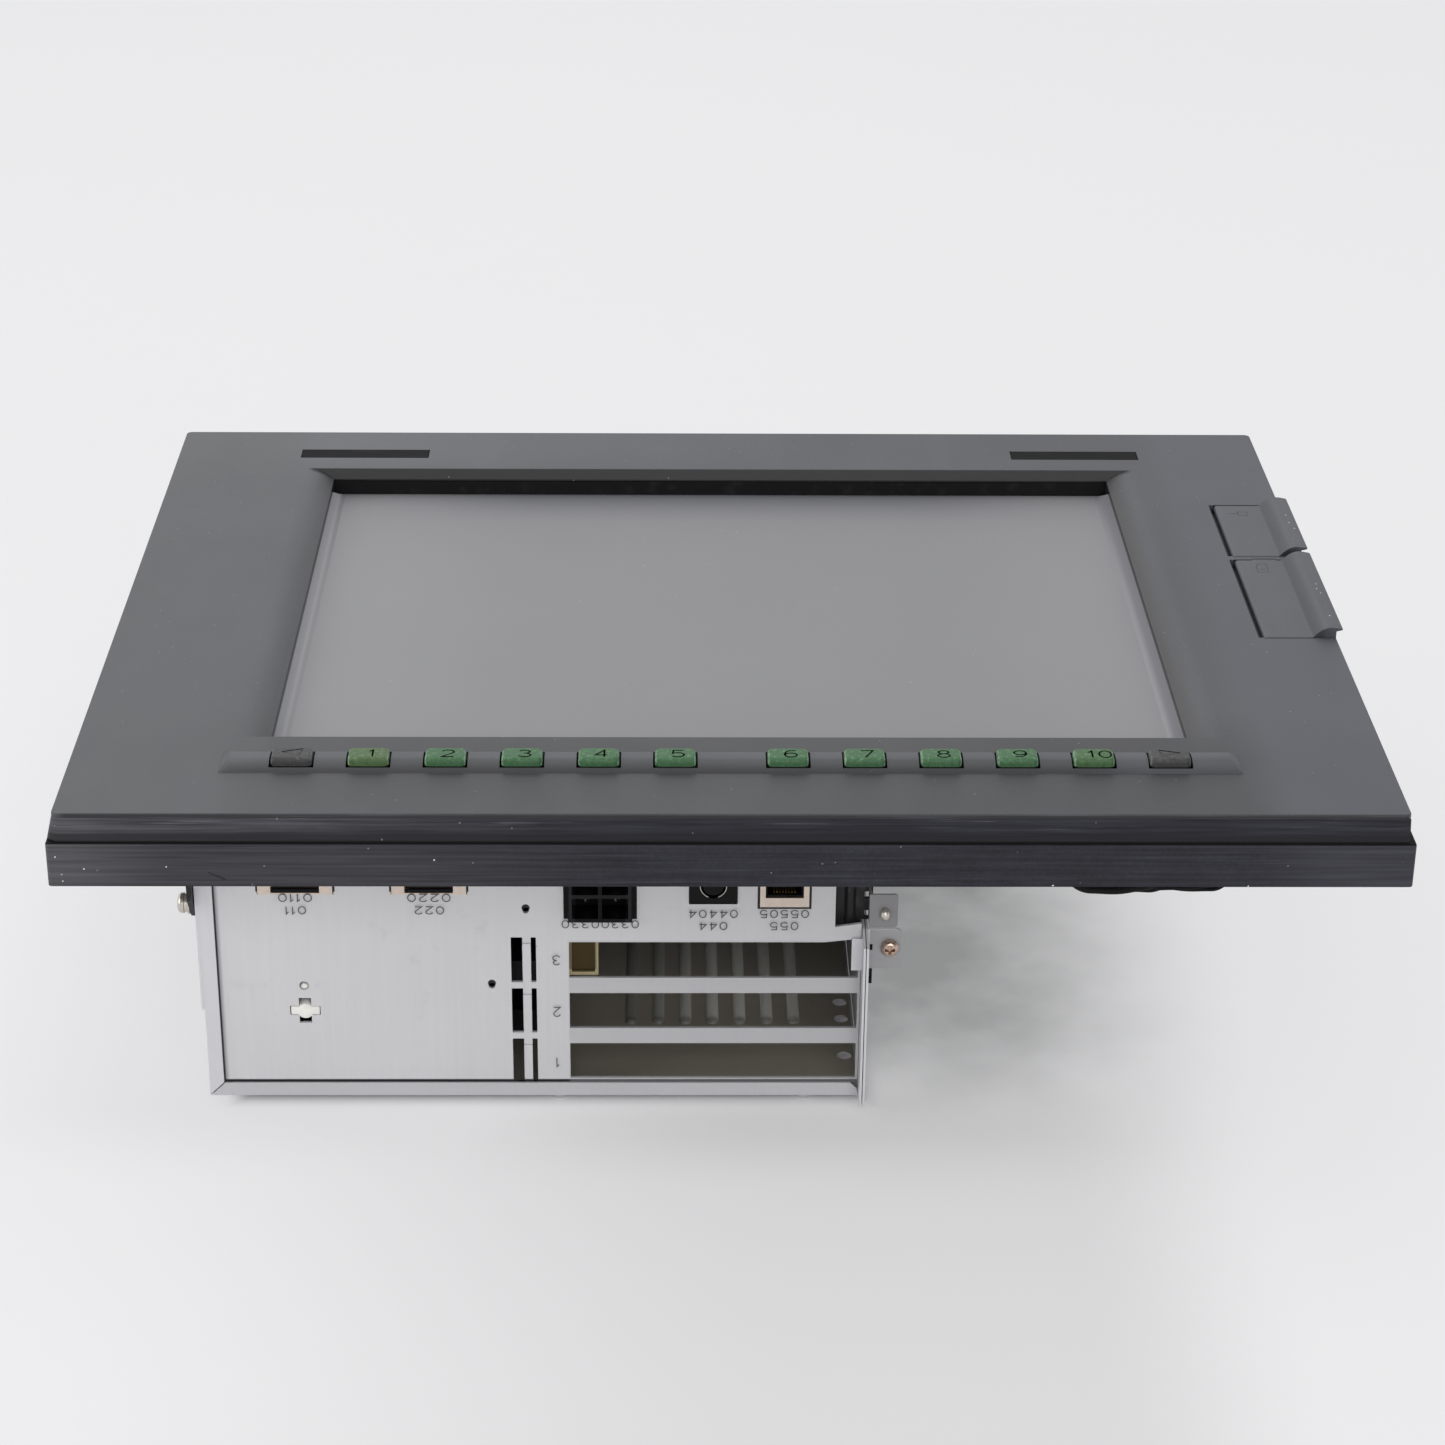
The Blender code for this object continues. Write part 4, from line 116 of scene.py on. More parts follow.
# Light levels
SKY_ON_OBJECT = 0.66
SKY_FAR = 0.97
SKY_NEAR = 0.55
FLOOR_DROP = 0.0002
FLOOR_REACH = 9.0
FLOOR_GLOW = 0.80
FLOOR_GLOW_UNDER = 0.04
FLOOR_SEEN = 0.855
LAMPS = (
    ("top_lamp", (-0.40, 0.60, 1.65), (0, 0, 0.1), 2.0, 15.0),
    ("left_lamp", (-1.50, -0.55, 0.75), (0, 0, 0.05), 0.9, 8.0),
    ("front_lamp", (0.25, -1.70, 0.85), (0, 0, 0.05), 1.1, 11.0),
)


def shade(steps):
    """A colour given in the usual 0 to 255 steps, as the renderer's linear colour."""
    parts = [step / 255 for step in steps]
    return (*[v / 12.92 if v <= 0.04045 else ((v + 0.055) / 1.055) ** 2.4 for v in parts], 1.0)


def box(node):
    """The low corner, high corner and middle of a CAD node."""
    low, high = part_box(node)
    return low, high, (low + high) / 2


class Value:
    """One output of a tree's nodes. Python's operators add the Math nodes."""

    def __init__(self, nodes, socket):
        self.nodes = nodes
        self.socket = socket

    def math(self, operation, first, second):
        return self.nodes.node("Math", {"operation": operation}, {0: first, 1: second})

    def __add__(self, other):
        return self.math("ADD", self, other)

    def __sub__(self, other):
        return self.math("SUBTRACT", self, other)

    def __rsub__(self, other):
        return self.math("SUBTRACT", other, self)

    def __mul__(self, other):
        return self.math("MULTIPLY", self, other)

    __radd__ = __add__
    __rmul__ = __mul__

    def most(self, other):
        return self.math("MAXIMUM", self, other)

    def size(self):
        return self.math("ABSOLUTE", self, 0.0)

    def ramp(self, low, high):
        """Nought below low, one above high, and smooth between."""
        settings = {"interpolation_type": "SMOOTHSTEP"}
        return self.nodes.node("MapRange", settings, {"Value": self, "From Min": low, "From Max": high})

    def band(self, middle, half, soft):
        """One within half of the middle, fading over the soft length."""
        return (self - middle).size().ramp(half + soft, half)


class Nodes:
    """The emptied node tree of a material or a world, and the ways to add to it."""

    def __init__(self, owner):
        owner.use_nodes = True
        self.tree = owner.node_tree
        self.tree.nodes.clear()

    def added(self, kind, settings, inputs):
        """A new node, with its settings made before its sockets get their values or links."""
        made = self.tree.nodes.new("ShaderNode" + kind)
        for key, value in settings.items():
            setattr(made, key, value)
        for key, value in inputs.items():
            self.feed(made.inputs[key], value)
        return made

    def node(self, kind, settings, inputs, output=0):
        """One output of a new node."""
        return Value(self, self.added(kind, settings, inputs).outputs[output])

    def feed(self, socket, value):
        """Sets a socket, or links a value to it."""
        if isinstance(value, Value):
            self.tree.links.new(value.socket, socket)
        else:
            socket.default_value = value

    def seen(self):
        """One for what the camera, metal and glass see, nought for the light that falls on the object."""
        rays = self.added("LightPath", {}, {}).outputs
        kinds = "Camera", "Glossy", "Transmission"
        return reduce(Value.most, [Value(self, rays[f"Is {kind} Ray"]) for kind in kinds])

    def blend(self, share, lit, shown, output):
        """Shows one shader in place of another by a share, which is nought where light falls on the object."""
        mix = self.node("MixShader", {}, {0: self.seen() * share, 1: lit, 2: shown})
        self.feed(output.inputs["Surface"], mix)


class Finish(Nodes):
    """One material: its shader and the few kinds of node that the finishes are made from."""

    def __init__(self, name, colour, roughness, metallic=0.0, **even):
        self.material = bpy.data.materials.new(name)
        super().__init__(self.material)
        self.shader = self.added("BsdfPrincipled", {}, {})
        self.surface = Value(self, self.shader.outputs[0])
        self.output = self.added("OutputMaterial", {}, {"Surface": self.surface})
        self.colour = shade(colour)
        self.roughness = roughness
        even |= {"Base_Color": self.colour, "Roughness": roughness, "Metallic": metallic}
        for socket, value in even.items():
            self.give(socket.replace("_", " "), value)
        self.place = self.node("TexCoord", {}, {}, "Object")
        parts = self.added("SeparateXYZ", {}, {0: self.place})
        self.x, self.y, self.z = (Value(self, parts.outputs[i]) for i in range(3))

    def give(self, name, value):
        """Sets one of the shader's own sockets."""
        self.feed(self.shader.inputs[name], value)

    def scaled(self, scale, shift=0.0):
        """The place on the object, in cells."""
        return self.node("Mapping", {}, {"Vector": self.place, "Location": (shift,) * 3, "Scale": scale})

    def noise(self, size, detail=3.0, stretch=(1, 1, 1), shift=0.0):
        """A value that swings round a half over a length of size, longer where stretch is over one."""
        place = self.scaled([1 / (size * s) for s in stretch], shift)
        return self.node("TexNoise", {}, {"Vector": place, "Scale": 1.0, "Detail": detail})

    def specks(self, size, radius, share):
        """Small round marks, one in some of the cells of that size. radius and share are parts of one."""
        cells = self.added("TexVoronoi", {}, {"Vector": self.scaled((1 / size,) * 3), "Scale": 1.0}).outputs
        pick = self.node("SeparateColor", {}, {0: Value(self, cells["Color"])})
        spot = Value(self, cells["Distance"]).ramp(radius, radius * 0.6)
        return spot * pick.ramp(1 - share, 1 - share * 0.9)

    def away(self, place):
        """The distance from a place."""
        return self.node("VectorMath", {"operation": "DISTANCE"}, {0: self.place, 1: place}, "Value")

    def mark(self, places, size):
        """One inside a ragged mark of that size round each place, nought outside."""
        ragged = self.noise(size * 0.8, 4.0) * (1.4 * size)
        return reduce(Value.most, [(self.away(place) + ragged).ramp(size * 1.2, size) for place in places])

    def tint(self, colour, mask):
        """Lays a colour over what is there, where the mask is one."""
        self.colour = self.node("Mix", {"data_type": "RGBA"}, {0: mask, 6: self.colour, 7: shade(colour)}, 2)
        self.give("Base Color", self.colour)

    def tone(self, amount, mask):
        """Makes the colour lighter and darker by a share as the mask swings round a half."""
        factor = 1.0 + (mask - 0.5) * (2 * amount)
        plain = self.colour if isinstance(self.colour, Value) else self.colour[:3]
        self.colour = self.node("VectorMath", {"operation": "SCALE"}, {0: plain, "Scale": factor}, "Vector")
        self.give("Base Color", self.colour)

    def rough(self, change, mask):
        """Adds a change to the roughness where the mask is one."""
        self.roughness = self.roughness + mask * change
        self.give("Roughness", self.roughness)

    def bumps(self, height, depth):
        """Raises the surface by up to depth where the height is one."""
        bump = self.node("Bump", {}, {"Strength": 1.0, "Distance": depth, "Height": height}, "Normal")
        self.give("Normal", bump)

    def worn(self, change, mask, height, depth):
        """The finish with its last two layers: rougher where the mask is one, and raised by the height."""
        self.rough(change, mask)
        self.bumps(height, depth)
        return self


# Finishes of the panel

def panel_paint(part, side, top, chips=(), streaks=0.0, shine=0.5):
    """Semi-matt dark paint: lighter on its top and darker on its sides as painted light and shade, with blotches,
    orange peel and a few chips.
    """
    paint = Finish(part + "_paint", side, 0.40, IOR=1.56, Specular_IOR_Level=shine)
    x, y, z = paint.x, paint.y, paint.z
    cloud = paint.noise(0.10, 5.0)
    grime = paint.noise(0.016, 6.0, (1, 1.8, 1), 3.0)
    grain = paint.noise(0.0011, 3.0, shift=5.0)
    rim = 0.0029
    away = (x.size() - (FRAME_HIGH.x - rim)).most(y.size() - (FRAME_HIGH.y - rim))
    on_top = away.ramp(0.0006, 0.0) * z.ramp(FACE - 0.0045, FACE - 0.0035)
    on_side = 1.0 - on_top
    # painted light: the top gets a lighter colour than the sides, as more light falls on it
    paint.tint(top, on_top)
    paint.tone(0.30, cloud)
    paint.tone(0.34, grime)
    paint.tone(0.30, grain)
    wiped = paint.noise(0.05, 3.0, (0.35, 2.2, 1), 8.0).ramp(0.50, 0.72) * on_top
    paint.tint((72, 76, 86), wiped * z.ramp(FACE - 0.0012, FACE - 0.0001) * 0.22)
    hair = paint.noise(0.0011, 2.0, (60, 3, 1.2), 7.0).ramp(0.70, 0.76)
    paint.tint((96, 97, 100), hair * 0.16)
    if part == "frame":
        frame_marks(paint, on_side)
    if streaks:
        drawn = paint.noise(0.0012, 4.0, (50, 50, 1), 1.0)
        paint.tone(streaks, (drawn - 0.5) * on_side + 0.5)
        rubbed = paint.noise(0.0008, 3.0, (60, 60, 1), 4.0).ramp(0.56, 0.72)
        paint.tint((70, 70, 80), rubbed * on_side * 0.35)
        paint.rough(0.10, drawn)
    if part == "bezel":
        bezel_marks(paint, on_top, on_side)
    paint.tint((150, 150, 150), paint.specks(0.0042, 0.085, 0.16) * 0.5)
    if part == "cover":
        # painted shade in the valley where the cover's grip starts to rise, and on its finger lip past the bezel's
        # edge
        slope = x.ramp(RIGHT - 0.0092, RIGHT - 0.0076) * x.ramp(RIGHT - 0.0030, RIGHT - 0.0058)
        paint.tint((36, 37, 41), slope * 0.62)
        paint.tint((44, 45, 49), x.ramp(RIGHT - 0.0002, RIGHT + 0.0020) * 0.4)
    if chips:
        paint.tint((222, 222, 218), paint.mark(chips, 0.0006))
    return paint.worn(0.12, grime, grain + grime * 0.6, 0.00006)


def frame_marks(paint, on_side):
    """The frame's near side: painted light makes it paler towards its left end and a little at its right; it has one
    short dark cut.
    """
    x, z = paint.x, paint.z
    cut_x, cut_z, lean = -0.1673, 0.1182, 0.46
    # painted light: paler towards the left end and a little at the right end
    paint.tint((59, 58, 63), x.ramp(-0.02, -0.13) * on_side)
    paint.tint((86, 86, 88), x.ramp(-0.180, -0.222) * on_side * 0.7)
    paint.tint((60, 60, 67), x.ramp(0.165, 0.200) * on_side * 0.9)
    cut = (z + (x - cut_x) * lean).band(cut_z, 0.0002, 0.0004) * x.band(cut_x, 0.0024, 0.0008)
    paint.tint((24, 24, 28), cut * paint.y.ramp(FRAME_LOW.y + 0.001, FRAME_LOW.y) * 0.6)


def bezel_marks(paint, on_top, on_side):
    """The bezel's painted light and shade: a paler left end, a darker front and paler far left and ends on its top,
    shade, a highlight and a paler right end on the key bar, shade in the dished window and painted shadow in the
    joints round the port covers; also a darker strip between the key bar and the window, and a black line where the
    gasket shows under the window's lip.
    """
    x, y, z = paint.x, paint.y, paint.z
    # painted light: the left end of the side made paler
    paint.tint((64, 64, 68), x.ramp(-0.2150, -0.2190) * on_side)
    # painted shade: the top darker towards the front, more so from the middle rightwards
    paint.tint((38, 39, 41), y.ramp(-0.080, -0.135) * on_top * (x.ramp(-0.20, -0.09) * 0.38 + 0.42))
    # painted shade on the key bar's near slope, a painted highlight along its crest, and the bar painted paler towards
    # its right end
    arched = z.ramp(FACE + 0.00004, FACE + 0.0002) * x.size().ramp(0.1700, 0.1690)
    paint.tint((24, 24, 27), arched * y.ramp(BAR_CROWN - 0.0030, BAR_CROWN - BAR_HALF) * 0.75)
    paint.tint((74, 78, 84), arched * y.band(BAR_CROWN + 0.0010, 0.0018, 0.0022) * 0.55)
    paint.tint((74, 78, 84), arched * x.ramp(0.11, 0.14) * 0.4)
    # a darker strip on the top between the key bar and the window
    behind = y.band(NEAR + 0.0516, 0.0060, 0.0008) * x.size().ramp(0.1580, 0.1540)
    paint.tint((36, 36, 38), behind * on_top * 0.42)
    # painted light: the top made paler at its far left and towards both ends
    paint.tint((84, 85, 88), x.ramp(0.02, -0.20) * y.ramp(0.105, 0.160) * on_top * 0.9)
    paint.tint((68, 71, 80), x.ramp(0.166, 0.185) * on_top * 0.7)
    paint.tint((68, 69, 72), x.ramp(-0.150, -0.185) * on_top * 0.6)
    inside = y.ramp(WINDOW_NEAR - 0.003, WINDOW_NEAR - 0.0025)
    # painted shade in the dished sides of the window, warm grey and stronger on the right and at the far end, and on
    # the window's far wall
    dished = z.ramp(FACE - 0.0001, FACE - 0.0028) * inside
    paint.tint((43, 42, 42), dished * (x.ramp(0.0, 0.1) * 0.60 + 0.16))
    paint.tint((22, 22, 25), dished * y.ramp(WINDOW_FAR - 0.035, WINDOW_FAR) * 0.55)
    paint.tint((12, 12, 15), y.ramp(WINDOW_FAR - 0.0003, WINDOW_FAR) * z.ramp(FACE + 0.00002, FACE - 0.0003))
    edge = x.size().ramp(WINDOW_RIGHT + 0.0002, WINDOW_RIGHT + 0.0001) * inside
    paint.tint((4, 4, 5), edge * z.ramp(LIP + 0.00005, LIP - 0.00005))
    # painted shadow in the gaps along the near and far edges of the port covers
    lids = x.ramp(RIGHT - 0.0264, RIGHT - 0.0262) * x.ramp(RIGHT - 0.0076, RIGHT - 0.0080)
    for node in ("usb_cover", "card_cover"):
        low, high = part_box(node)
        for middle, half in ((low.y - 0.0007, 0.0007), (high.y + 0.0006, 0.0003)):
            paint.tint((2, 2, 2), lids * y.band(middle, half, 0.0001))


def skirt_paint():
    """The bezel's leaning near side: dull dark paint drawn with long streaks and rubbed above, painted lighter towards
    its left end, with painted shade towards its foot and the black seal line at the foot.
    """
    paint = Finish("skirt_paint", (43, 43, 50), 0.5, IOR=1.56, Specular_IOR_Level=0.1)
    x, z = paint.x, paint.z
    foot = FRAME_HIGH.z
    # painted light: paler towards the left end
    paint.tint((64, 63, 68), x.ramp(-0.02, -0.15))
    paint.tint((86, 86, 89), x.ramp(-0.185, -0.220) * 0.8)
    drawn = paint.noise(0.0009, 4.0, (50, 50, 1), 1.0)
    patch = paint.noise(0.012, 4.0, (4, 1, 0.5), 5.0)
    paint.tone(0.95, drawn)
    paint.tone(0.55, patch)
    rubbed = paint.noise(0.0007, 3.0, (45, 45, 1), 4.0).ramp(0.58, 0.66) * z.ramp(FACE - 0.0060, FACE - 0.0035)
    paint.tint((112, 112, 118), rubbed * patch.ramp(0.40, 0.60) * 0.42)
    # painted shade towards the foot; the black line below it is the seal
    paint.tint((36, 36, 39), z.ramp(foot + 0.0050, foot + 0.0028) * 0.8)
    paint.tint((4, 4, 5), z.ramp(foot + 0.0016, foot + 0.0008))
    paint.tint((170, 170, 170), paint.specks(0.0042, 0.085, 0.16) * 0.4)
    return paint.worn(0.12, patch, drawn, 0.00003)


def screen_film(name):
    """The touch film: matt grey with a fine sparkle, a slow cloud and a little dust, painted shadow along its far
    edge, and a little lighter towards both sides.
    """
    film = Finish(name, (126, 126, 129), 0.46)
    film.tone(0.03, film.noise(0.16, 2.0))
    # painted shadow of the window's far wall along the far edge
    film.tint((104, 105, 112), film.y.ramp(WINDOW_FAR - 0.030, WINDOW_FAR - 0.006) * 0.7)
    # a little lighter towards both sides
    film.tint((132, 132, 135), film.x.size().ramp(0.07, 0.14) * 0.9)
    film.tone(0.03, film.noise(0.0006, 1.0))
    film.tint((190, 190, 192), film.specks(0.0060, 0.06, 0.10) * 0.55)
    return film.worn(0.07, film.noise(0.05, 4.0, shift=2.0), film.noise(0.0005, 1.0, shift=4.0), 0.00001)


def film_border():
    """The film along the window's sides, painted lighter on the left slope and darker on the right one so that the
    slopes' light and shade read as flat, with a dark line under the lip.
    """
    film = screen_film("film_border")
    x = film.x
    slope = film.z.ramp(GLASS + 0.0001, GLASS + 0.0014)
    # painted light and shade: the left slope lighter, the right slope darker
    film.tint((156, 156, 160), slope * x.ramp(0.01, -0.01))
    film.tint((118, 118, 123), slope * x.ramp(-0.01, 0.01))
    film.tint((5, 5, 6), x.size().ramp(WINDOW_RIGHT - 0.00062, WINDOW_RIGHT - 0.00054))
    return film


def rubber(name, colour):
    """Dull rubber with a dusty bloom."""
    skin = Finish(name, colour, 0.66, Specular_IOR_Level=0.22)
    bloom = skin.noise(0.006, 5.0)
    skin.tint((52, 52, 54), bloom.ramp(0.50, 0.80) * 0.30)
    return skin.worn(0.15, bloom, skin.noise(0.0006, 3.0, shift=1.0), 0.00005)


def key_plastic(name, colour, pale, node):
    """A moulded key cap: grained, with a painted highlight along its far edge and sides, dusty in the grain of its
    top, and painted black shadow low on its sides.
    """
    _, high, middle = box(node)
    cap = Finish(name, colour, 0.48, Specular_IOR_Level=0.36)
    across = (cap.x - middle.x).size() * (1 / KEY_HALF_X)
    rim = across.most((cap.y - middle.y) * (1 / KEY_HALF_Y)).ramp(0.89, 0.95)
    grain = cap.noise(0.0015, 5.0, shift=2.0)
    cap.tone(0.40, grain)
    cap.tone(0.45, cap.noise(0.0006, 3.0))
    # painted highlight along the cap's far edge and sides
    cap.tint(pale, rim * grain.ramp(0.30, 0.60) * 0.62)
    # pale dust in the grain of the top
    cap.tint(pale, grain.ramp(0.54, 0.70) * cap.z.ramp(high.z - 0.0012, high.z - 0.0003) * 0.20)
    # painted black shadow low on the cap's sides
    cap.tint((4, 4, 4), cap.z.ramp(high.z - KEY_SHADOW + 0.0002, high.z - KEY_SHADOW))
    return cap.worn(0.14, grain, cap.noise(0.0004, 3.0, shift=9.0), 0.00004)


def label_film():
    """The bare name strip: smooth black film with a faint haze of wear."""
    film = Finish("label_film", (13, 13, 15), 0.50, Specular_IOR_Level=0.07)
    haze = film.noise(0.007, 5.0, (3, 1, 1))
    film.tint((58, 58, 62), haze.ramp(0.48, 0.80) * 0.30)
    return film.worn(0.18, haze, film.noise(0.0012, 2.0), 0.00001)


# Finishes of the case

def zinc_sheet(name, colour, brushed=(1, 40, 40)):
    """Light grey coated sheet: soft rolling marks, faint stains, hairline scratches and a little dirt."""
    sheet = Finish(name, colour, 0.42, 0.10)
    roll = sheet.noise(0.0012, 4.0, brushed, 3.0)
    stain = sheet.noise(0.009, 5.0, shift=6.0)
    sheet.tone(0.035, roll)
    sheet.tone(0.05, sheet.noise(0.045, 4.0))
    sheet.tint((150, 149, 147), stain.ramp(0.62, 0.80) * 0.16)
    sheet.tint((120, 120, 122), sheet.noise(0.0007, 2.0, (1, 1, 38), 2.0).ramp(0.72, 0.76) * 0.14)
    sheet.tint((112, 110, 106), sheet.specks(0.0095, 0.05, 0.10) * 0.5)
    return sheet.worn(0.16, stain, roll * 0.6 + sheet.noise(0.0009, 3.0), 0.00003)


def plate_sheet():
    """The connector plate: painted shade along its left and lower seams, in its small holes, round the light stud and
    round the metal sockets, and painted darker towards its right.
    """
    sheet = zinc_sheet("plate_sheet", (207, 207, 209))
    x, z = sheet.x, sheet.z
    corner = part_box("connector_plate")[0]
    front = corner.y + 0.0003
    seam = corner.x + 0.0039
    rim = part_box("rear_cover")[1].z
    # painted shade: darker towards the right
    sheet.tint((180, 180, 182), x.ramp(-0.10, 0.05) * 0.5)
    # painted shadow in the seams along the left fold and the lower edge
    sheet.tint((120, 120, 122), x.ramp(seam + 0.0022, seam + 0.0004) * 0.75)
    sheet.tint((36, 36, 38), x.ramp(seam + 0.0008, seam + 0.0004))
    sheet.tint((30, 30, 32), z.ramp(rim + 0.0011, rim + 0.0008))
    sheet.tint((150, 150, 152), x.ramp(-0.0560, -0.0550) * z.ramp(0.0655, 0.0640) * 0.36)
    # painted shade in the small holes
    for hole_x, hole_z in ((-0.0700, 0.0779), (-0.0822, 0.0480)):
        sheet.tint((8, 8, 8), sheet.away((hole_x, front, hole_z)).ramp(0.00152, 0.00146))
    # painted shade: a grey ring round the light stud
    sheet.tint((120, 120, 122), sheet.away((-0.1474, front, 0.0470)).ramp(0.00185, 0.00175) * 0.8)
    # painted shade in the openings round the metal sockets
    for node, side, below in (
        ("network_connector", 0.0008, 0.0011), ("serial_connector_left", 0.0007, -0.0008),
        ("serial_connector_right", 0.0007, -0.0008),
    ):
        low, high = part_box(node)
        left, right, foot = low.x - side, high.x + side, low.z - below
        outer = x.ramp(left - 0.0001, left) * x.ramp(right + 0.0001, right)
        sheet.tint((16, 15, 15), outer * z.ramp(foot - 0.0001, foot))
    return sheet


def inside_dark(sheet):
    """Browns the sheet inside the case: partly the warmer tone of its bare steel, partly painted shade where hardly
    any light gets in, a little less dark further back.
    """
    low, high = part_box("rear_case")
    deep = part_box("connector_plate")[1].y - 0.0002
    x, y, z = sheet.x, sheet.y, sheet.z
    within = x.ramp(low.x + 0.0004, low.x + 0.0007) * x.ramp(high.x - 0.0137, high.x - 0.0140)
    within = within * y.ramp(deep, deep + 0.0001) * y.ramp(high.y - 0.0004, high.y - 0.0007)
    within = within * z.ramp(low.z + 0.0004, low.z + 0.0007)
    # painted shade, with the warmer tone of bare steel
    sheet.tint((158, 152, 140), within)
    sheet.tint((172, 165, 154), within * y.ramp(deep + 0.020, deep + 0.070))
    return sheet


def wall_sheet():
    """The case walls and the slot bracket, which is a little darker past the case's right wall."""
    sheet = zinc_sheet("zinc_sheet", (208, 208, 211))
    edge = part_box("rear_case")[1].x - 0.0114
    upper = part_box("slot_bracket_screw")[1].z + 0.0040
    sheet.tint((156, 156, 158), sheet.x.ramp(edge, edge + 0.0004) * sheet.z.ramp(upper, upper - 0.0003))
    return inside_dark(sheet)


def hood_sheet():
    """The pressed hoods over the vents: a paler sheet than the case round them, as painted light, with painted shade
    towards the left and over their near end.
    """
    sheet = zinc_sheet("hood_sheet", (236, 235, 228), (1, 40, 1))
    # painted shade towards the left and over the near end
    sheet.tint((120, 118, 112), sheet.x.ramp(0.000, -0.040) * 0.85)
    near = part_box("rear_cover")[0].y + 0.0468
    sheet.tint((110, 108, 102), sheet.y.ramp(near + 0.0050, near) * 0.9)
    return sheet


def moulded(name, colour, rough=0.45):
    """Plain moulded plastic with a fine grain."""
    skin = Finish(name, colour, rough, Specular_IOR_Level=0.16)
    cloud = skin.noise(0.004, 4.0)
    skin.tone(0.12, cloud)
    return skin.worn(0.16, cloud, skin.noise(0.0004, 2.0, shift=3.0), 0.00003)


def power_plastic():
    """The power connector: its side posts a lighter grey, and its lower cavities and the divider between them painted
    black as one dark mouth of shade.
    """
    skin = moulded("power_plastic", (9, 9, 10))
    low, _, middle = box("power_connector")
    across = (skin.x - middle.x).size()
    inner = across.ramp(0.0088, 0.0084)
    # the side posts a lighter grey
    skin.tint((34, 34, 36), across.ramp(0.0085, 0.0089) * across.ramp(0.0108, 0.0105))
    # painted shade: the lower cavities and the divider between them made black
    below = skin.z.ramp(middle.z - 0.0006, middle.z - 0.0008) * skin.z.ramp(low.z + 0.0012, low.z + 0.0015)
    skin.tint((2, 2, 2), below * inner)
    skin.tint((26, 26, 28), skin.z.band(middle.z, 0.0006, 0.0001) * inner)
    return skin


def coated_steel(name, colour):
    """Dark coated steel with rubbed patches."""
    steel = Finish(name, colour, 0.44, 0.3)
    patch = steel.noise(0.005, 5.0)
    steel.tint((88, 88, 90), patch.ramp(0.56, 0.76) * 0.35)
    return steel.worn(0.20, patch, steel.noise(0.0005, 3.0, shift=2.0), 0.00004)


def bright_metal(name, colour, rough=0.26, brush=(1, 1, 1)):
    """Plated metal with fine tool marks and dull patches."""
    metal = Finish(name, colour, rough, 1.0)
    marks = metal.noise(0.0003, 3.0, brush)
    dull = metal.noise(0.0022, 4.0, shift=5.0)
    metal.tone(0.08, marks)
    metal.tone(0.14, dull)
    return metal.worn(0.20, dull, marks, 0.00002)


def circuit_board(name, lacquer, track):
    """Lacquer over copper: tracks, pads and vias."""
    board = Finish(name, lacquer, 0.35)
    along = board.noise(0.0010, 1.0, (30, 1, 1)).ramp(0.55, 0.60)
    tracks = along.most(board.noise(0.0010, 1.0, (1, 30, 1), 4.0).ramp(0.55, 0.60))
    board.tint(track, tracks * 0.6)
    board.tint((150, 138, 98), board.specks(0.0032, 0.16, 0.25))
    return board.worn(0.12, along, tracks, 0.00003)


def amber_plastic():
    """Dark amber plastic, cloudy with handling, paler along its front rim."""
    amber = Finish("amber_plastic", (98, 88, 58), 0.22)
    cloud = amber.noise(0.006, 4.0)
    amber.tone(0.22, cloud)
    low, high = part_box("slot_guide")
    rim = amber.x.ramp(high.x - 0.0010, high.x - 0.0004).most(amber.z.ramp(low.z + 0.0026, low.z + 0.0018))
    amber.tint((168, 156, 122), rim * amber.y.ramp(low.y + 0.0013, low.y + 0.0003) * 0.75)
    return amber.worn(0.18, cloud, amber.noise(0.001, 2.0), 0.00003)


def printing_ink(name, colour):
    """Screen print or the dark fill of a moulded sign, thin in places."""
    ink = Finish(name, colour, 0.75, Specular_IOR_Level=0.05)
    patch = ink.noise(0.0005, 3.0)
    ink.tone(0.25, patch)
    return ink.worn(0.15, patch, patch, 0.00001)


# Mesh helpers

def made_object(name, shape, finish=None):
    """An object of a bmesh, which is freed."""
    mesh = bpy.data.meshes.new(name)
    shape.to_mesh(mesh)
    shape.free()
    if finish:
        mesh.materials.append(finish.material)
    thing = bpy.data.objects.new(name, mesh)
    bpy.context.scene.collection.objects.link(thing)
    return thing


def piece(name, shape, finish, body="panel", smooth=True):
    """Turns a bmesh into a piece that rides on a body."""
    bmesh.ops.recalc_face_normals(shape, faces=shape.faces)
    thing = made_object(name, shape, finish)
    for face in thing.data.polygons:
        face.use_smooth = smooth
    if smooth:
        thing.data.set_sharp_from_angle(angle=SHARP)
    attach(thing, body)
    return thing


def around(radius, height, sides):
    """The points of a level circle."""
    return [Vector((radius * cos(2 * pi * i / sides), radius * sin(2 * pi * i / sides), height)) for i in range(sides)]


def lathe(profile, sides, matrix, shape=None):
    """A turned solid: profile holds radius and height, from the axis at one end to the axis at the other."""
    shape = bmesh.new() if shape is None else shape
    rings = []
    for radius, height in profile:
        points = around(radius, height, sides) if radius else [Vector((0, 0, height))]
        rings.append([shape.verts.new(matrix @ point) for point in points])
    for lower, upper in zip(rings, rings[1:]):
        for i in range(sides):
            j = (i + 1) % sides
            corners = [lower[i % len(lower)], lower[j % len(lower)], upper[j % len(upper)], upper[i % len(upper)]]
            corners = list(dict.fromkeys(corners))
            if len(corners) > 2:
                shape.faces.new(corners)
    return shape


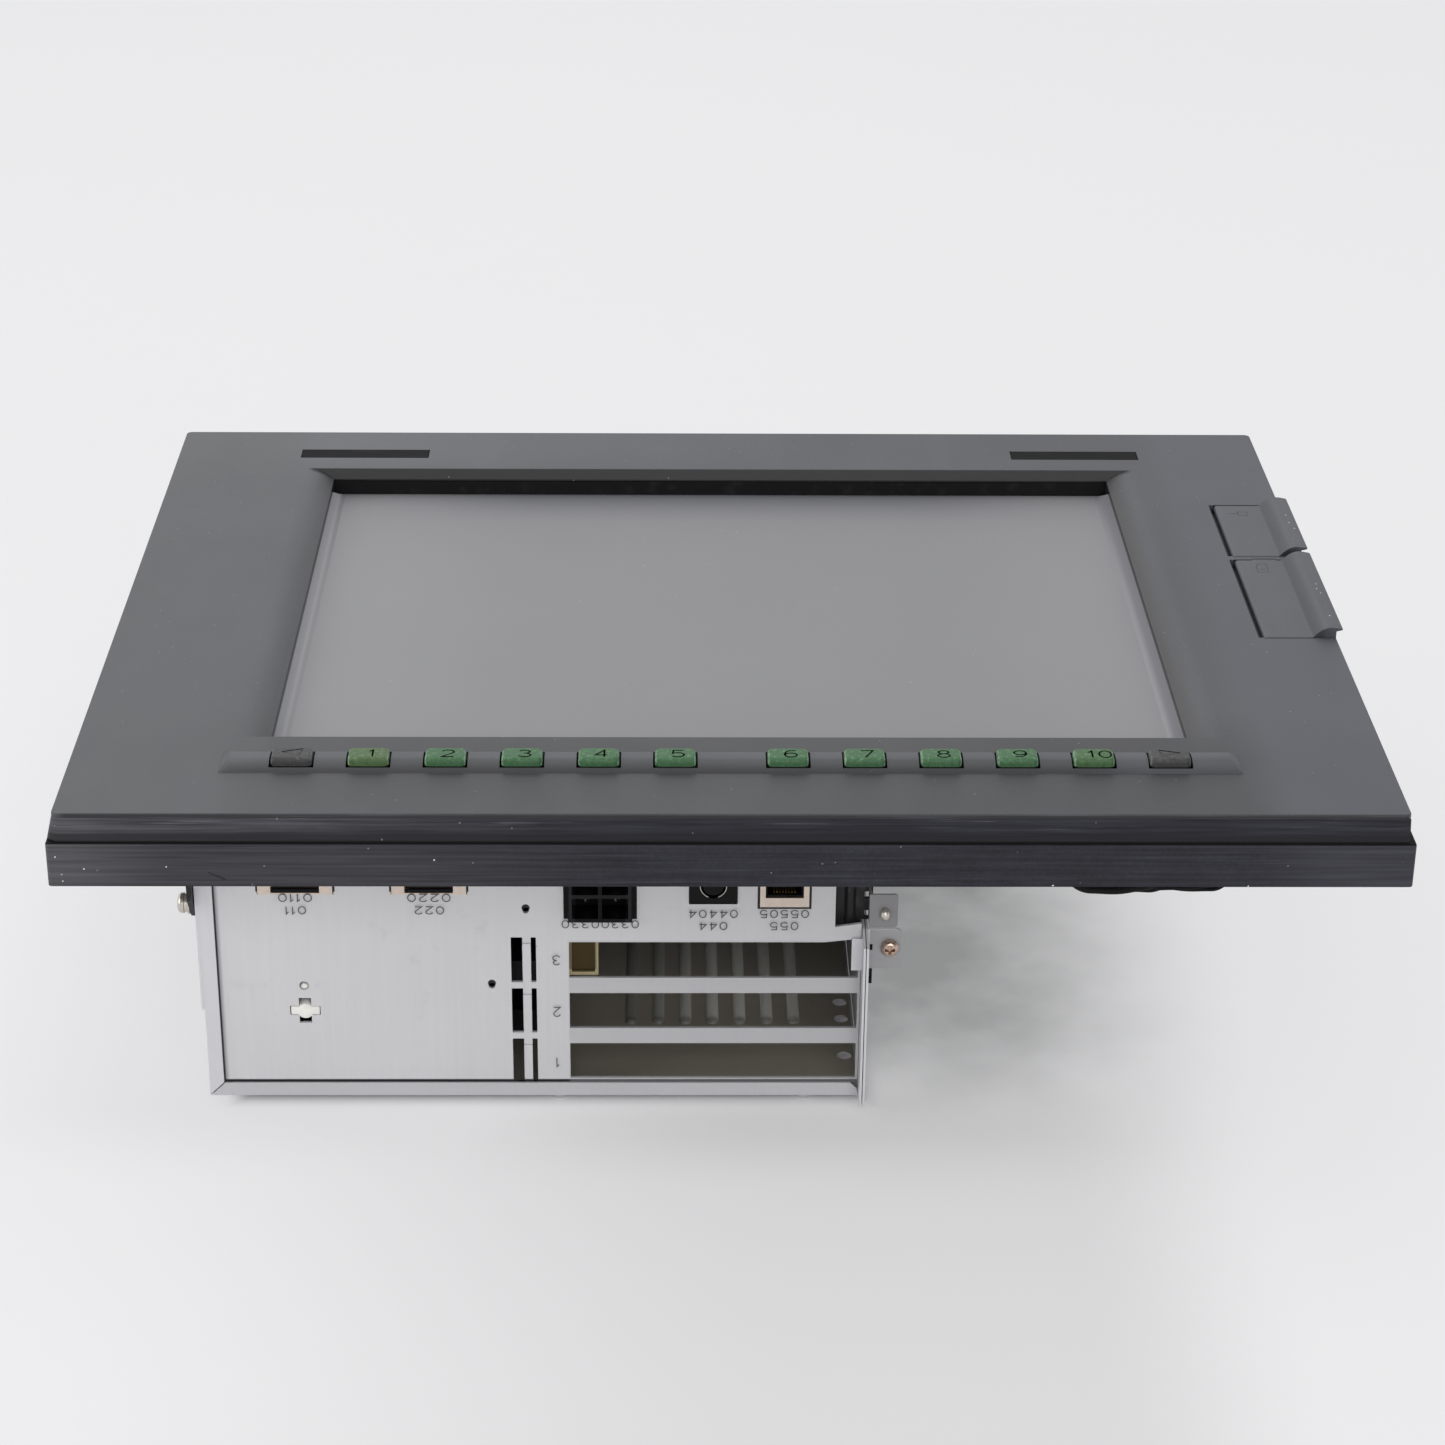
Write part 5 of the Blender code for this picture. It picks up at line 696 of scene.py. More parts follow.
def soft_box(shape, low, high, edge, segments=2):
    """Adds a block with rounded edges."""
    middle = [(a + b) / 2 for a, b in zip(low, high)]
    size = [b - a for a, b in zip(low, high)]
    matrix = Matrix.Translation(middle) @ Matrix.Diagonal((*size, 1))
    made = bmesh.ops.create_cube(shape, size=1, matrix=matrix)
    if edge:
        edges = {e for v in made["verts"] for e in v.link_edges}
        bmesh.ops.bevel(
            shape, geom=list(edges), offset=edge, segments=segments, affect="EDGES", profile=0.5, clamp_overlap=True
        )


def slab(x, half, near, far, foot, top):
    """The low and high corner of a block that is centred on x."""
    return (x - half, near, foot), (x + half, far, top)


def blocks(name, corners, edge, finish, smooth=True, segments=2):
    """One piece of a block for each pair of corners."""
    shape = bmesh.new()
    for low, high in corners:
        soft_box(shape, low, high, edge, segments)
    return piece(name, shape, finish, smooth=smooth)


def join_rings(shape, rings):
    """Faces between closed rings that have the same number of corners."""
    count = len(rings[0])
    for lower, upper in zip(rings, rings[1:]):
        for k in range(count):
            j = (k + 1) % count
            shape.faces.new((lower[k], lower[j], upper[j], upper[k]))


def tube(rings, shape=None):
    """A closed solid through rings of points."""
    shape = bmesh.new() if shape is None else shape
    rings = [[shape.verts.new(point) for point in ring] for ring in rings]
    join_rings(shape, rings)
    shape.faces.new(rings[0][::-1])
    shape.faces.new(rings[-1])
    return shape


def facing_front(x, y, z, turn=0.0):
    """A place on a face towards the operator: local X runs right, local Y up, local Z out to the front."""
    return Matrix.Translation((x, y, z)) @ Matrix.Rotation(pi / 2, 4, "X") @ Matrix.Rotation(turn, 4, "Z")


def curve_points(cx, cy, rx, ry, start, end, steps=14):
    """Points round part of an oval, the angles in degrees."""
    angles = [radians(start + (end - start) * i / steps) for i in range(steps + 1)]
    return [(cx + rx * cos(a), cy + ry * sin(a)) for a in angles]


def round_corners(half, near, far, corner, steps=5):
    """The points of a rectangle with round corners, anticlockwise."""
    points = []
    for cx, cy, start in (
        (half - corner, near + corner, -90), (half - corner, far - corner, 0),
        (-half + corner, far - corner, 90), (-half + corner, near + corner, 180),
    ):
        points += curve_points(cx, cy, corner, corner, start, start + 90, steps)
    return points


def dress(finish, *nodes):
    """Gives CAD nodes their finish."""
    for name in nodes:
        slots = NODES[name].data.materials
        slots.clear()
        slots.append(finish.material)


# Figures

FIGURES = {
    "0": [curve_points(0.5, 0.5, 0.5, 0.5, 90, 450, 24)],
    "1": [[(0.0, 0.74), (0.85, 1.0), (0.85, 0.0)]],
    "2": [curve_points(0.5, 0.73, 0.48, 0.27, 165, -32) + [(0.02, 0.0), (1.0, 0.0)]],
    "3": [curve_points(0.48, 0.76, 0.44, 0.24, 160, -82) + curve_points(0.48, 0.26, 0.52, 0.26, 82, -160)],
    "4": [[(0.74, 0.0), (0.74, 1.0), (0.0, 0.28), (1.0, 0.28)]],
    "5": [[(0.92, 1.0), (0.12, 1.0), (0.06, 0.52)] + curve_points(0.48, 0.32, 0.52, 0.32, 128, -150)],
    "6": [curve_points(0.62, 0.45, 0.62, 0.55, 62, 180, 10) + curve_points(0.5, 0.30, 0.5, 0.30, 170, 530, 24)],
    "7": [[(0.0, 1.0), (1.0, 1.0), (0.34, 0.0)]],
    "8": [curve_points(0.5, 0.76, 0.42, 0.24, -90, 270, 24), curve_points(0.5, 0.26, 0.5, 0.26, 90, 450, 24)],
    "9": [curve_points(0.38, 0.55, 0.62, 0.45, 242, 360, 10) + curve_points(0.5, 0.70, 0.5, 0.30, -10, 350, 24)],
}
FIGURE_GAP = 0.32
NARROW_FIGURE = 0.45


def stroke(shape, line, width, matrix, depth):
    """Adds a line of even width as a thin solid with mitred corners. It is closed if it ends where it starts."""
    points = [Vector(p) for p in line]
    closed = (points[0] - points[-1]).length < width * 0.05
    if closed:
        points.pop()
    count = len(points)
    rings = []
    for i, point in enumerate(points):
        before = points[i - 1] if closed or i else point * 2 - points[1]
        after = points[(i + 1) % count] if closed or i < count - 1 else point * 2 - points[i - 1]
        first = (point - before).normalized()
        along = (first + (after - point).normalized()).normalized()
        reach = width / 2 / max(along.dot(first), 0.35)
        across = Vector((-along.y, along.x)) * reach
        left, right = point + across, point - across
        rings.append([
            matrix @ Vector((*p, z)) for p, z in ((left, 0), (right, 0), (right, depth), (left, depth))
        ])
    if closed:
        rings = [[shape.verts.new(point) for point in ring] for ring in rings]
        join_rings(shape, rings + rings[:1])
    else:
        tube(rings, shape)


def figures(text, size, weight, matrix, depth):
    """Plain figures drawn in even strokes round the middle of a place. size is that of one figure."""
    width, height = size
    widths = [width * (NARROW_FIGURE if sign == "1" else 1.0) for sign in text]
    start = -(sum(widths) + width * FIGURE_GAP * (len(text) - 1)) / 2
    shape = bmesh.new()
    for sign, wide in zip(text, widths):
        for k, line in enumerate(FIGURES[sign]):
            scaled = [(start + x * (wide - weight) + weight / 2, (y - 0.5) * (height - weight)) for x, y in line]
            stroke(shape, scaled, weight, matrix @ Matrix.Translation((0, 0, k * depth * 0.1)), depth)
        start += wide + width * FIGURE_GAP
    return shape


def arrow_shape(matrix, side):
    """A slim outlined triangle: one long dark edge, its two other edges only lightly cut."""
    tail, tip = ((0.0034, 0.0028), (-0.0034, 0.0006)) if side < 0 else ((-0.0034, 0.0026), (0.0034, 0.0006))
    foot = (-0.0026 * side, -0.0018)
    shape = bmesh.new()
    for line, width in (((tail, tip), 0.00060), ((tip, foot), 0.00016), ((foot, tail), 0.00016)):
        stroke(shape, line, width, matrix, KEY_FIGURE_DEPTH)
    return shape


def key_figures(ink):
    """The figure on each green key and the slim outlined arrow on the two grey ones."""
    for i, node in enumerate(KEY_NODES):
        _, high, middle = box(node)
        top = Matrix.Translation((middle.x, middle.y, high.z - KEY_FIGURE_DEPTH))
        if i in GREY_KEYS:
            shape = arrow_shape(top, 1 if i else -1)
        else:
            place = top @ Matrix.Translation((KEY_FIGURE_SHIFTS.get(i, 0.0009), -0.0004, 0))
            shape = figures(str(i), KEY_FIGURE_SIZE, KEY_FIGURE_WEIGHT, place, KEY_FIGURE_DEPTH)
        piece(node.replace("key", "key_figure"), shape, ink, node, smooth=False)


def plate_figures(ink):
    """Plain numbers beside the card slots and under the connectors, upside down as the panel lies."""
    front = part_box("connector_plate")[0].y
    places = [(text, SLOT_FIGURE_X, FACE - fall, SLOT_FIGURE_SIZE) for text, fall in SLOT_FIGURE_FALLS.items()]
    serial, small = ((0.0822, 0.0030), (0.0773, 0.0028)), ((0.0760, 0.0027), (0.0712, 0.0027))
    for node, texts, rows in (
        ("serial_connector_left", ("0110", "011"), serial), ("serial_connector_right", ("0220", "022"), serial),
        ("power_connector", ("03300330",), ((0.0719, 0.0026),)), ("keyboard_connector", ("04404", "044"), small),
        ("network_connector", ("05505", "055"), small),
    ):
        x = box(node)[2].x
        places += [(text, x, z, (wide, PLATE_FIGURE_HEIGHT)) for text, (z, wide) in zip(texts, rows)]
    for text, x, z, size in places:
        shape = figures(text, size, INK_WEIGHT, facing_front(x, front, z, pi), INK_DEPTH)
        piece(f"plate_figure_{text}", shape, ink, smooth=False)


# Finer surfaces over the panel's facets

def key_caps(plastics):
    """Each key again with softly rounded corners and edges, in place of its plain solid."""
    for i, (node, plastic) in enumerate(zip(KEY_NODES, plastics)):
        low, high, middle = box(node)
        half_x, half_y, _ = (high - low) / 2 - Vector((KEY_FLANGE, KEY_FLANGE, 0))
        shape = bmesh.new()
        soft_box(shape, low, (high.x, high.y, low.z + KEY_FLANGE_THICK), 0)
        rings = []
        for inset, drop in KEY_ROUNDING:
            z = low.z + KEY_FLANGE_THICK / 2 if drop is None else high.z - drop
            corner = max(KEY_CORNER - inset * 0.3, 0.0006)
            outline = round_corners(half_x - inset, inset * 1.7 - half_y, half_y - inset, corner)
            rings.append([(middle.x + x, middle.y + y, z) for x, y in outline])
        tube(rings, shape)
        slot = "grey_key" if i in GREY_KEYS else "green_key"
        cap = piece(node.replace("key", "key_cap"), shape, plastic, node)
        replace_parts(cap, node)


def bar_skin(paint):
    """The arched key bar in fine steps, a hair above its facets, open over the key slots."""
    radius = (BAR_HALF * BAR_HALF + BAR_RISE * BAR_RISE) / (2 * BAR_RISE)
    places = [box(node)[2] for node in KEY_NODES]
    slots = [(place.x - KEY_SLOT_HALF_X, place.x + KEY_SLOT_HALF_X) for place in places]
    key_y = places[0].y
    end = [-BAR_END + BAR_SLOPE * i / 4 for i in range(5)]
    across = end + [x for slot in slots for x in slot] + [-x for x in reversed(end)]
    steps = {round(BAR_CROWN - BAR_HALF * cos(pi * i / 28), 6) for i in range(29)}
    along = sorted(steps | {key_y - KEY_SLOT_HALF_Y, key_y + KEY_SLOT_HALF_Y})
    shape = bmesh.new()

    def corner(x, y):
        arch = BAR_RISE - radius + (radius * radius - (y - BAR_CROWN) ** 2) ** 0.5
        slope = max(BAR_END - abs(x), 0.0) / BAR_SLOPE * BAR_RISE
        return shape.verts.new((x, y, FACE + max(min(arch, slope), 0.0) + SKIN))

    grid = [[corner(x, y) for y in along] for x in across]
    for i in range(len(across) - 1):
        centre = (across[i] + across[i + 1]) / 2
        over_slot = any(left < centre < right for left, right in slots)
        for k in range(len(along) - 1):
            place = (along[k] + along[k + 1]) / 2
            if not (over_slot and abs(place - key_y) < KEY_SLOT_HALF_Y):
                shape.faces.new((grid[i][k], grid[i + 1][k], grid[i + 1][k + 1], grid[i][k + 1]))
    piece("key_bar_skin", shape, paint)


def bezel_skirt(paint):
    """The bezel's near, left and far sides, leaning out a little to the frame's edge."""
    foot = FRAME_HIGH.z + 0.00015
    top = FACE - 0.0016
    out = NEAR - FRAME_LOW.y
    profile = [(SKIN, top), (out - 0.0003, foot + 0.0006), (out - 0.00045, foot), (-0.0004, foot), (-0.0004, top)]
    end = RIGHT - 0.0003
    left, near = SKIRT_CORNER - RIGHT, SKIRT_CORNER + NEAR
    turns = [(end, near, 270)] + [(left, near, angle) for angle in range(270, 179, -18)]
    turns += [(left, -near, angle) for angle in range(180, 89, -18)] + [(end, -near, 90)]
    rings = []
    for x, y, angle in turns:
        side, ahead = cos(radians(angle)), sin(radians(angle))
        rings.append([(x + (SKIRT_CORNER + d) * side, y + (SKIRT_CORNER + d) * ahead, z) for d, z in profile])
    piece("bezel_skirt", tube(rings), paint)


def dish_skins(paint, film):
    """The dished sides of the window in fine steps, and the raised border of the film along each."""
    steps = 24
    border = [
        (WINDOW_RIGHT - inset, z) for inset, z in (
            (0.00005, LIP - 0.0003), (0.00050, LIP - 0.0004), (0.00065, LIP - 0.0008), (0.0018, GLASS + 0.0020),
            (0.0031, GLASS + 0.0005), (0.0042, GLASS + 0.00005), (0.0044, GLASS - 0.0001), (0.00005, GLASS - 0.0001),
        )
    ]
    for name, side in (("left", -1), ("right", 1)):
        dish = bmesh.new()
        rows = []
        for i in range(steps + 1):
            share = i / steps
            fall = share * share
            x = side * (WINDOW_RIGHT + SIDE_DISH * (1 - share))
            out = END_DISH * (1 - fall)
            z = FACE - DISH_DEPTH * fall + SKIN
            rows.append([dish.verts.new((x, y, z)) for y in (WINDOW_NEAR - out, WINDOW_FAR + out)])
        for lower, upper in zip(rows, rows[1:]):
            dish.faces.new((lower[0], lower[1], upper[1], upper[0]))
        piece(f"window_dish_{name}", dish, paint)
        edge = tube([
            [(side * x, WINDOW_NEAR + 0.0001, z) for x, z in border],
            [(side * x, WINDOW_FAR - 0.0001 - max(z - GLASS, 0) * 2.05, z) for x, z in border],
        ])
        piece(f"film_border_{name}", edge, film)


def cover_outline():
    """Across a port cover in fine steps: hinge barrel, flat lid, wave-shaped grip and finger lip."""
    barrel = curve_points(RIGHT - 0.0247, FACE - 0.0015, 0.0015, 0.0015, 90, 332, 24)
    barrel[-1] = (barrel[-1][0], FACE - 0.0022)
    lip = (0, -0.0022), (0, 0.0022), (0.0020, 0.0027), (0.0022, 0.0030)
    under = [(RIGHT + x, FACE + z) for x, z in lip]
    start = RIGHT - WAVE_START
    crest = start + WAVE_RUN
    run = RIGHT + 0.0022 - crest - 0.00005
    fillet = [i * WAVE_FILLET / 2 for i in range(4)]
    wave = [(start - WAVE_FILLET + x, FACE + WAVE_CURVE * x ** 2) for x in fillet]
    wave += [(start + WAVE_RUN * i / 24, FACE + WAVE_RISE * (1 - (1 - i / 24) ** 1.9)) for i in range(2, 25)]
    wave += [(crest + run * i / 12, FACE + WAVE_RISE - WAVE_FALL * (i / 12) ** 1.5) for i in range(1, 13)]
    return barrel + under + wave[::-1]


def inset_outline(outline, inset):
    """The same outline drawn in by a small amount along its own normals."""
    count = len(outline)
    drawn = []
    for i, point in enumerate(outline):
        along = (Vector(outline[(i + 1) % count]) - Vector(outline[i - 1])).normalized()
        drawn.append(Vector(point) + Vector((-along.y, along.x)) * inset)
    return drawn


def port_covers(paint, ink):
    """The two hinged covers with smooth grips, the sill between them, and a plain engraved sign on each."""
    outline = cover_outline()
    for node in ("usb_cover", "card_cover"):
        low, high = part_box(node)
        rings = []
        for y, inset, pull in (
            (low.y, LID_EDGE, 0.0002), (low.y + LID_EDGE, 0.0, 0.0), (high.y - 0.0013, 0.0, 0.0),
            (high.y - 0.0007, 0.0, 0.00014), (high.y - LID_EDGE, 0.0, 0.0006), (high.y, LID_EDGE, 0.0013),
        ):
            points = inset_outline(outline, inset)
            rings.append([(x - pull * min(max((x - RIGHT) / 0.0012, 0), 1), y, z) for x, z in points])
        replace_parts(piece(node + "_lid", tube(rings), paint, node), node)
    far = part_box("card_cover")[1].y
    sill = ((RIGHT - 0.0205, far + 0.0002, FACE - 0.0009), (RIGHT - 0.0090, far + 0.0016, FACE - 0.0002))
    blocks("cover_sill", [sill], 0.00008, paint, segments=1)
    for node, (left, near, wide, tall), lines in (
        ("usb_cover", (0.0042, 0.0098, 0.0078, 0.0034),
         (((0, 0.5), (0.55, 0.5)), ((0.55, 0), (1, 0), (1, 1), (0.55, 1), (0.55, 0)))),
        ("card_cover", (0.0074, 0.0115, 0.0040, 0.0078),
         (((0.25, 1), (1, 1), (1, 0), (0, 0), (0, 0.72), (0.25, 1)), ((0.3, 0.35), (0.8, 0.35)))),
    ):
        low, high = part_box(node)
        sign = bmesh.new()
        for k, line in enumerate(lines):
            points = [(low.x + left + x * wide, high.y - near + y * tall) for x, y in line]
            stroke(sign, points, 0.00024, Matrix.Translation((0, 0, FACE - 0.00004 + k * 0.000004)), 0.00006)
        piece(node + "_sign", sign, ink, node, smooth=False)


# Screws

HEAD_SIDES = 28
HEAD_FLAT, HEAD_WALL = 0.45, 0.35
CROSS_REACH, CROSS_WIDTH, CROSS_DEPTH, CROSS_TAPER = 0.62, 0.19, 0.55, 0.55


def cross_screw(name, node, radius, out, finish, collars=()):
    """A pan head with a cross recess, in place of its plain head. out is the way that it faces."""
    low, high, middle = box(node)
    out = Vector(out)
    height = abs(out.dot(high - low))
    foot = Matrix.Translation(middle - out * height / 2)
    turn = Vector((0, 0, 1)).rotation_difference(out).to_matrix().to_4x4()
    edge = 0.0001
    profile = [(0, 0)]
    base = 0.0
    for wide, thick in collars:
        profile += [(wide - edge, base), (wide, base + edge), (wide, base + thick - edge), (wide - edge, base + thick)]
        base += thick
    if not collars:
        profile.append((radius - edge, 0))
    profile.append((radius, base + edge))
    rise = height - base
    for i in range(7):
        angle = pi / 2 * i / 6
        flat = HEAD_FLAT + (1 - HEAD_FLAT) * cos(angle)
        wall = HEAD_WALL + (1 - HEAD_WALL) * sin(angle)
        profile.append((radius * flat, base + rise * wall))
    profile.append((0, height))
    head = piece(name, lathe(profile, HEAD_SIDES, Matrix()), finish)
    recess = bmesh.new()
    arm, thin, deep = radius * CROSS_REACH, radius * CROSS_WIDTH, rise * CROSS_DEPTH
    for wide, narrow in ((arm, thin), (thin, arm)):
        for vertex in bmesh.ops.create_cube(recess, size=1)["verts"]:
            x, y, z = vertex.co
            share = CROSS_TAPER if z < 0 else 1.0
            vertex.co = (x * 2 * wide * share, y * 2 * narrow * share, height + 0.0002 if z > 0 else height - deep)
    cutter = made_object("recess", recess)
    cut = head.modifiers.new("recess", "BOOLEAN")
    cut.operation = "DIFFERENCE"
    cut.solver = "EXACT"
    cut.use_self = True
    cut.object = cutter
    bpy.context.view_layer.update()
    worked = bpy.data.meshes.new_from_object(head.evaluated_get(bpy.context.evaluated_depsgraph_get()))
    head.modifiers.clear()
    head.data = worked
    bpy.data.objects.remove(cutter)
    head.data.transform(foot @ turn)
    head.data.set_sharp_from_angle(angle=SHARP)
    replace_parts(head, node)


def screws(plain, coppery):
    """The three loose screws seen from the front: a cross head, a tall plain dome and a cross head on two collars."""
    cross_screw("bracket_screw_head", "slot_bracket_screw", 0.0031, (0, -1, 0), coppery)
    low, high, middle = box("case_tab_screw")
    tall = high.y - low.y
    radius, foot = 0.0026, 0.0004
    profile = [(0, 0), (radius - 0.0002, 0), (radius, 0.0002)]
    turns = [pi / 2 * i / 8 for i in range(8)]
    profile += [(radius * cos(turn), foot + (tall - foot) * sin(turn)) for turn in turns]
    profile.append((0, tall))
    matrix = facing_front(middle.x, high.y, middle.z) @ Matrix.Diagonal((0.68, 0.94, 1, 1))
    dome = piece("tab_screw_head", lathe(profile, HEAD_SIDES, matrix), plain)
    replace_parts(dome, "case_tab_screw")
    collars = ((0.0039, 0.0008), (0.0033, 0.0012))
    cross_screw("side_screw_head", "side_screw", 0.0036, (-1, 0, 0), plain, collars)


# Details in the connectors

def network_lining(black):
    """The black lining inside the square metal socket."""
    low, _, middle = box("network_connector")
    half, wall = 0.0063, 0.0004
    near, far = low.y + 0.0012, low.y + 0.0099
    foot = low.z + 0.00375
    top = foot + 0.0080
    left, right = middle.x - half, middle.x + half
    blocks("network_lining", [
        ((left, near, foot), (right, far, foot + wall)), ((left, near, top - wall), (right, far, top)),
        ((left, near, foot), (left + wall, far, top)), ((right - wall, near, foot), (right, far, top)),
        ((left, far - wall, foot), (right, far, top)),
    ], 0, black, smooth=False)


def network_contacts(gold):
    """Eight sprung fingers in the network socket."""
    low, _, middle = box("network_connector")
    fingers = [
        slab(middle.x + (i - 3.5) * 0.00102, 0.0002, low.y + 0.0030, low.y + 0.0095, low.z + 0.0037, low.z + 0.0043)
        for i in range(8)
    ]
    blocks("network_contacts", fingers, 0.00008, gold)


def serial_details(black, gold, metal):
    """In each serial socket a black tongue with two rows of contacts, and a jack screw at each end."""
    jack = [
        (0, -0.0004), (0.0016, -0.0004), (0.0017, 0.0004), (0.0013, 0.0006), (0.0009, 0.0006), (0.0007, 0.0001),
        (0, 0.0001),
    ]
    for side in ("left", "right"):
        low, _, middle = box(f"serial_connector_{side}")
        x, y = middle.x, low.y
        foot = low.z + 0.0006
        roof = foot + 0.0067
        blocks(f"serial_tongue_{side}", [
            slab(x, 0.0081, y + 0.0003, y + 0.0028, foot, foot + 0.0012),
            slab(x, 0.0081, y + 0.0003, y + 0.0028, roof - 0.0012, roof),
            slab(x, 0.0072, y + 0.0008, y + 0.0029, foot + 0.0024, roof - 0.0024),
        ], 0.0002, black)
        pins = [
            slab(x + (i - 4.5) * 0.00127, 0.0002, y + 0.0009, y + 0.0029, z, z + 0.0004)
            for i in range(10) for z in (foot + 0.0022, roof - 0.0026)
        ]
        blocks(f"serial_pins_{side}", pins, 0, gold, smooth=False)
        jacks = bmesh.new()
        for sign in (-1, 1):
            lathe(jack, 6, facing_front(x + sign * 0.0106, y, middle.z - 0.0006), jacks)
        piece(f"serial_jacks_{side}", jacks, metal)


def keyboard_details(metal, black):
    """The keyboard socket's steel collar and its pin holes."""
    low, _, middle = box("keyboard_connector")
    place = facing_front(middle.x, low.y, middle.z)
    section = ((0.00442, 0.0001), (0.00466, 0.0001), (0.00466, -0.0007), (0.00442, -0.0007))
    start, end = 292, 608
    turns = [radians(start + (end - start) * i / 30) for i in range(31)]
    collar = tube([
        [place @ Vector((radius * cos(turn), radius * sin(turn), height)) for radius, height in section]
        for turn in turns
    ])
    piece("keyboard_collar", collar, metal)
    holes = bmesh.new()
    for angle in (35, 90, 145, 215, 270, 325):
        x, z = middle.x + 0.0024 * cos(radians(angle)), middle.z + 0.0024 * sin(radians(angle))
        lathe([(0, 0), (0.00045, 0), (0.0005, 0.00006), (0, 0.00006)], 12, facing_front(x, low.y, z), holes)
    piece("keyboard_pin_holes", holes, black, smooth=False)


def power_contacts(metal):
    """A cross-shaped contact blade in each cavity of the power connector."""
    low, high, middle = box("power_connector")
    y = low.y
    blades = []
    for x in (middle.x - 0.0052, middle.x + 0.0052):
        for share in (0.27, 0.73):
            z = low.z + (high.z - low.z) * share
            blades.append(slab(x, 0.0016, y + 0.0075, y + 0.0099, z - 0.0004, z + 0.0004))
            blades.append(slab(x, 0.0004, y + 0.0078, y + 0.0099, z - 0.0016, z + 0.0016))
    blocks("power_contacts", blades, 0.00012, metal)


# Details of the case

def board_clip(nylon):
    """The white nylon clip behind the cross cut-out, and the stud above it."""
    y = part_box("connector_plate")[1].y
    low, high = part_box("rear_case")
    x, z = low.x + 0.03475265, high.z - 0.0628
    profile = [(0, -0.0060), (0.0032, -0.0060), (0.0031, 0.0004), (0.0028, 0.0010), (0.0022, 0.0012), (0, 0.0013)]
    clip = lathe(profile, 24, facing_front(x, y, z - 0.0004))
    soft_box(clip, *slab(x, 0.0050, y - 0.0011, y + 0.0030, z - 0.0017, z + 0.0015), 0.0003)
    piece("board_clip", clip, nylon)
    turned = [(0, -0.0030), (0.0014, -0.0030), (0.0014, 0.0006), (0.0012, 0.0009), (0, 0.0010)]
    stud = lathe(turned, 20, facing_front(x + 0.00005, y, high.z - 0.0536))
    piece("light_stud", stud, nylon)


def strap_seam(zinc):
    """The spot-welded seam that closes the gap between the left strap and the case wall."""
    low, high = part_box("side_strap")
    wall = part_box("rear_case")[0].x
    seam = ((high.x - 0.0004, low.y + 0.0001, low.z + 0.0001), (wall + 0.0003, high.y - 0.0001, high.z - 0.0001))
    blocks("strap_seam", [seam], 0, zinc, smooth=False)


def vent_hoods(zinc):
    """A low pressed hood over each vent slot, inside the case."""
    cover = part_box("rear_cover")[0]
    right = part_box("connector_plate")[1].x - 0.0208
    near, floor = cover.y + 0.0468, cover.z + 0.0038
    length, half, rise, steps = 0.0904, 0.0022, 0.0015, 12
    stations = [half * (1 - cos(pi / 2 * k / 6)) for k in range(7)]
    stations += [length - y for y in reversed(stations)]
    shape = bmesh.new()
    for i in range(7):
        x = right - 0.0099 * i
        rings = []
        for y in stations:
            inward = min(y, length - y, half)
            swell = max((1 - (1 - inward / half) ** 2) ** 0.5, 0.02)
            rings.append([
                (x + half * swell * cos(pi * k / steps), near + y, floor + rise * swell * sin(pi * k / steps))
                for k in range(steps + 1)
            ])
        tube(rings, shape)
    piece("vent_hoods", shape, zinc)


def guide_front(amber):
    """The closed front of the slot guide, a little behind its rim."""
    low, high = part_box("slot_guide")
    front = ((low.x + 0.0002, low.y + 0.0003, low.z + 0.0020), (high.x - 0.0009, low.y + 0.0012, high.z - 0.0002))
    blocks("guide_front", [front], 0.0002, amber)


def tab_slots(black):
    """Two narrow dark openings beside the side tab, filled with black blocks as painted shade."""
    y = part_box("case_tab")[0].y
    slots = bmesh.new()
    soft_box(slots, (0.0487, y - 0.00004, 0.0617), (0.0497, y + 0.0003, 0.0640), 0)
    soft_box(slots, (0.0483, y + 0.0002, 0.0482), (0.0498, y + 0.0009, 0.0547), 0.0001)
    piece("tab_slots", slots, black, smooth=False)


# Cables

def cable_path(node, radius, bend, sag):
    """The route of a held cable, worked out from its solid's box: down, along in a slight bow and up."""
    low, high, middle = box(node)
    left, right = low.x + radius, high.x - radius
    floor = low.z + radius + sag
    steps = 14
    level = right - left - 2 * bend
    points = [(left, high.z)]
    points += curve_points(left + bend, floor + bend, bend, bend, 180, 270, steps)
    points += [(left + bend + level * i / steps, floor - sag * sin(pi * i / steps) ** 2) for i in range(1, steps)]
    points += curve_points(right - bend, floor + bend, bend, bend, 270, 360, steps)
    points.append((right, high.z))
    return [Vector((x, middle.y, z)) for x, z in points]


def cable_strands(skin):
    """The bundle as three twisted strands and the thin lead as two, on the routes of their solids."""
    up = Vector((0, 1, 0))
    for node, route, (count, radius, spread, turns) in (
        ("cable_bundle", (0.0032, 0.0080, 0.0006), (3, 0.00145, 0.00155, 0.7)),
        ("thin_lead", (0.0016, 0.0060, 0.0004), (2, 0.00070, 0.00060, 0.8)),
    ):
        path = cable_path(node, *route)
        total = len(path) - 1
        strands = bmesh.new()
        for strand in range(count):
            rings = []
            for i, place in enumerate(path):
                side = (path[min(i + 1, total)] - path[max(i - 1, 0)]).cross(up).normalized()
                angle = 2 * pi * (strand / count + turns * i / total)
                centre = place + (side * cos(angle) + up * sin(angle)) * spread
                rings.append([centre + side * p.x + up * p.y for p in around(radius, 0, 10)])
            tube(rings, strands)
        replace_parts(piece(node + "_strands", strands, skin), node)


# The stage

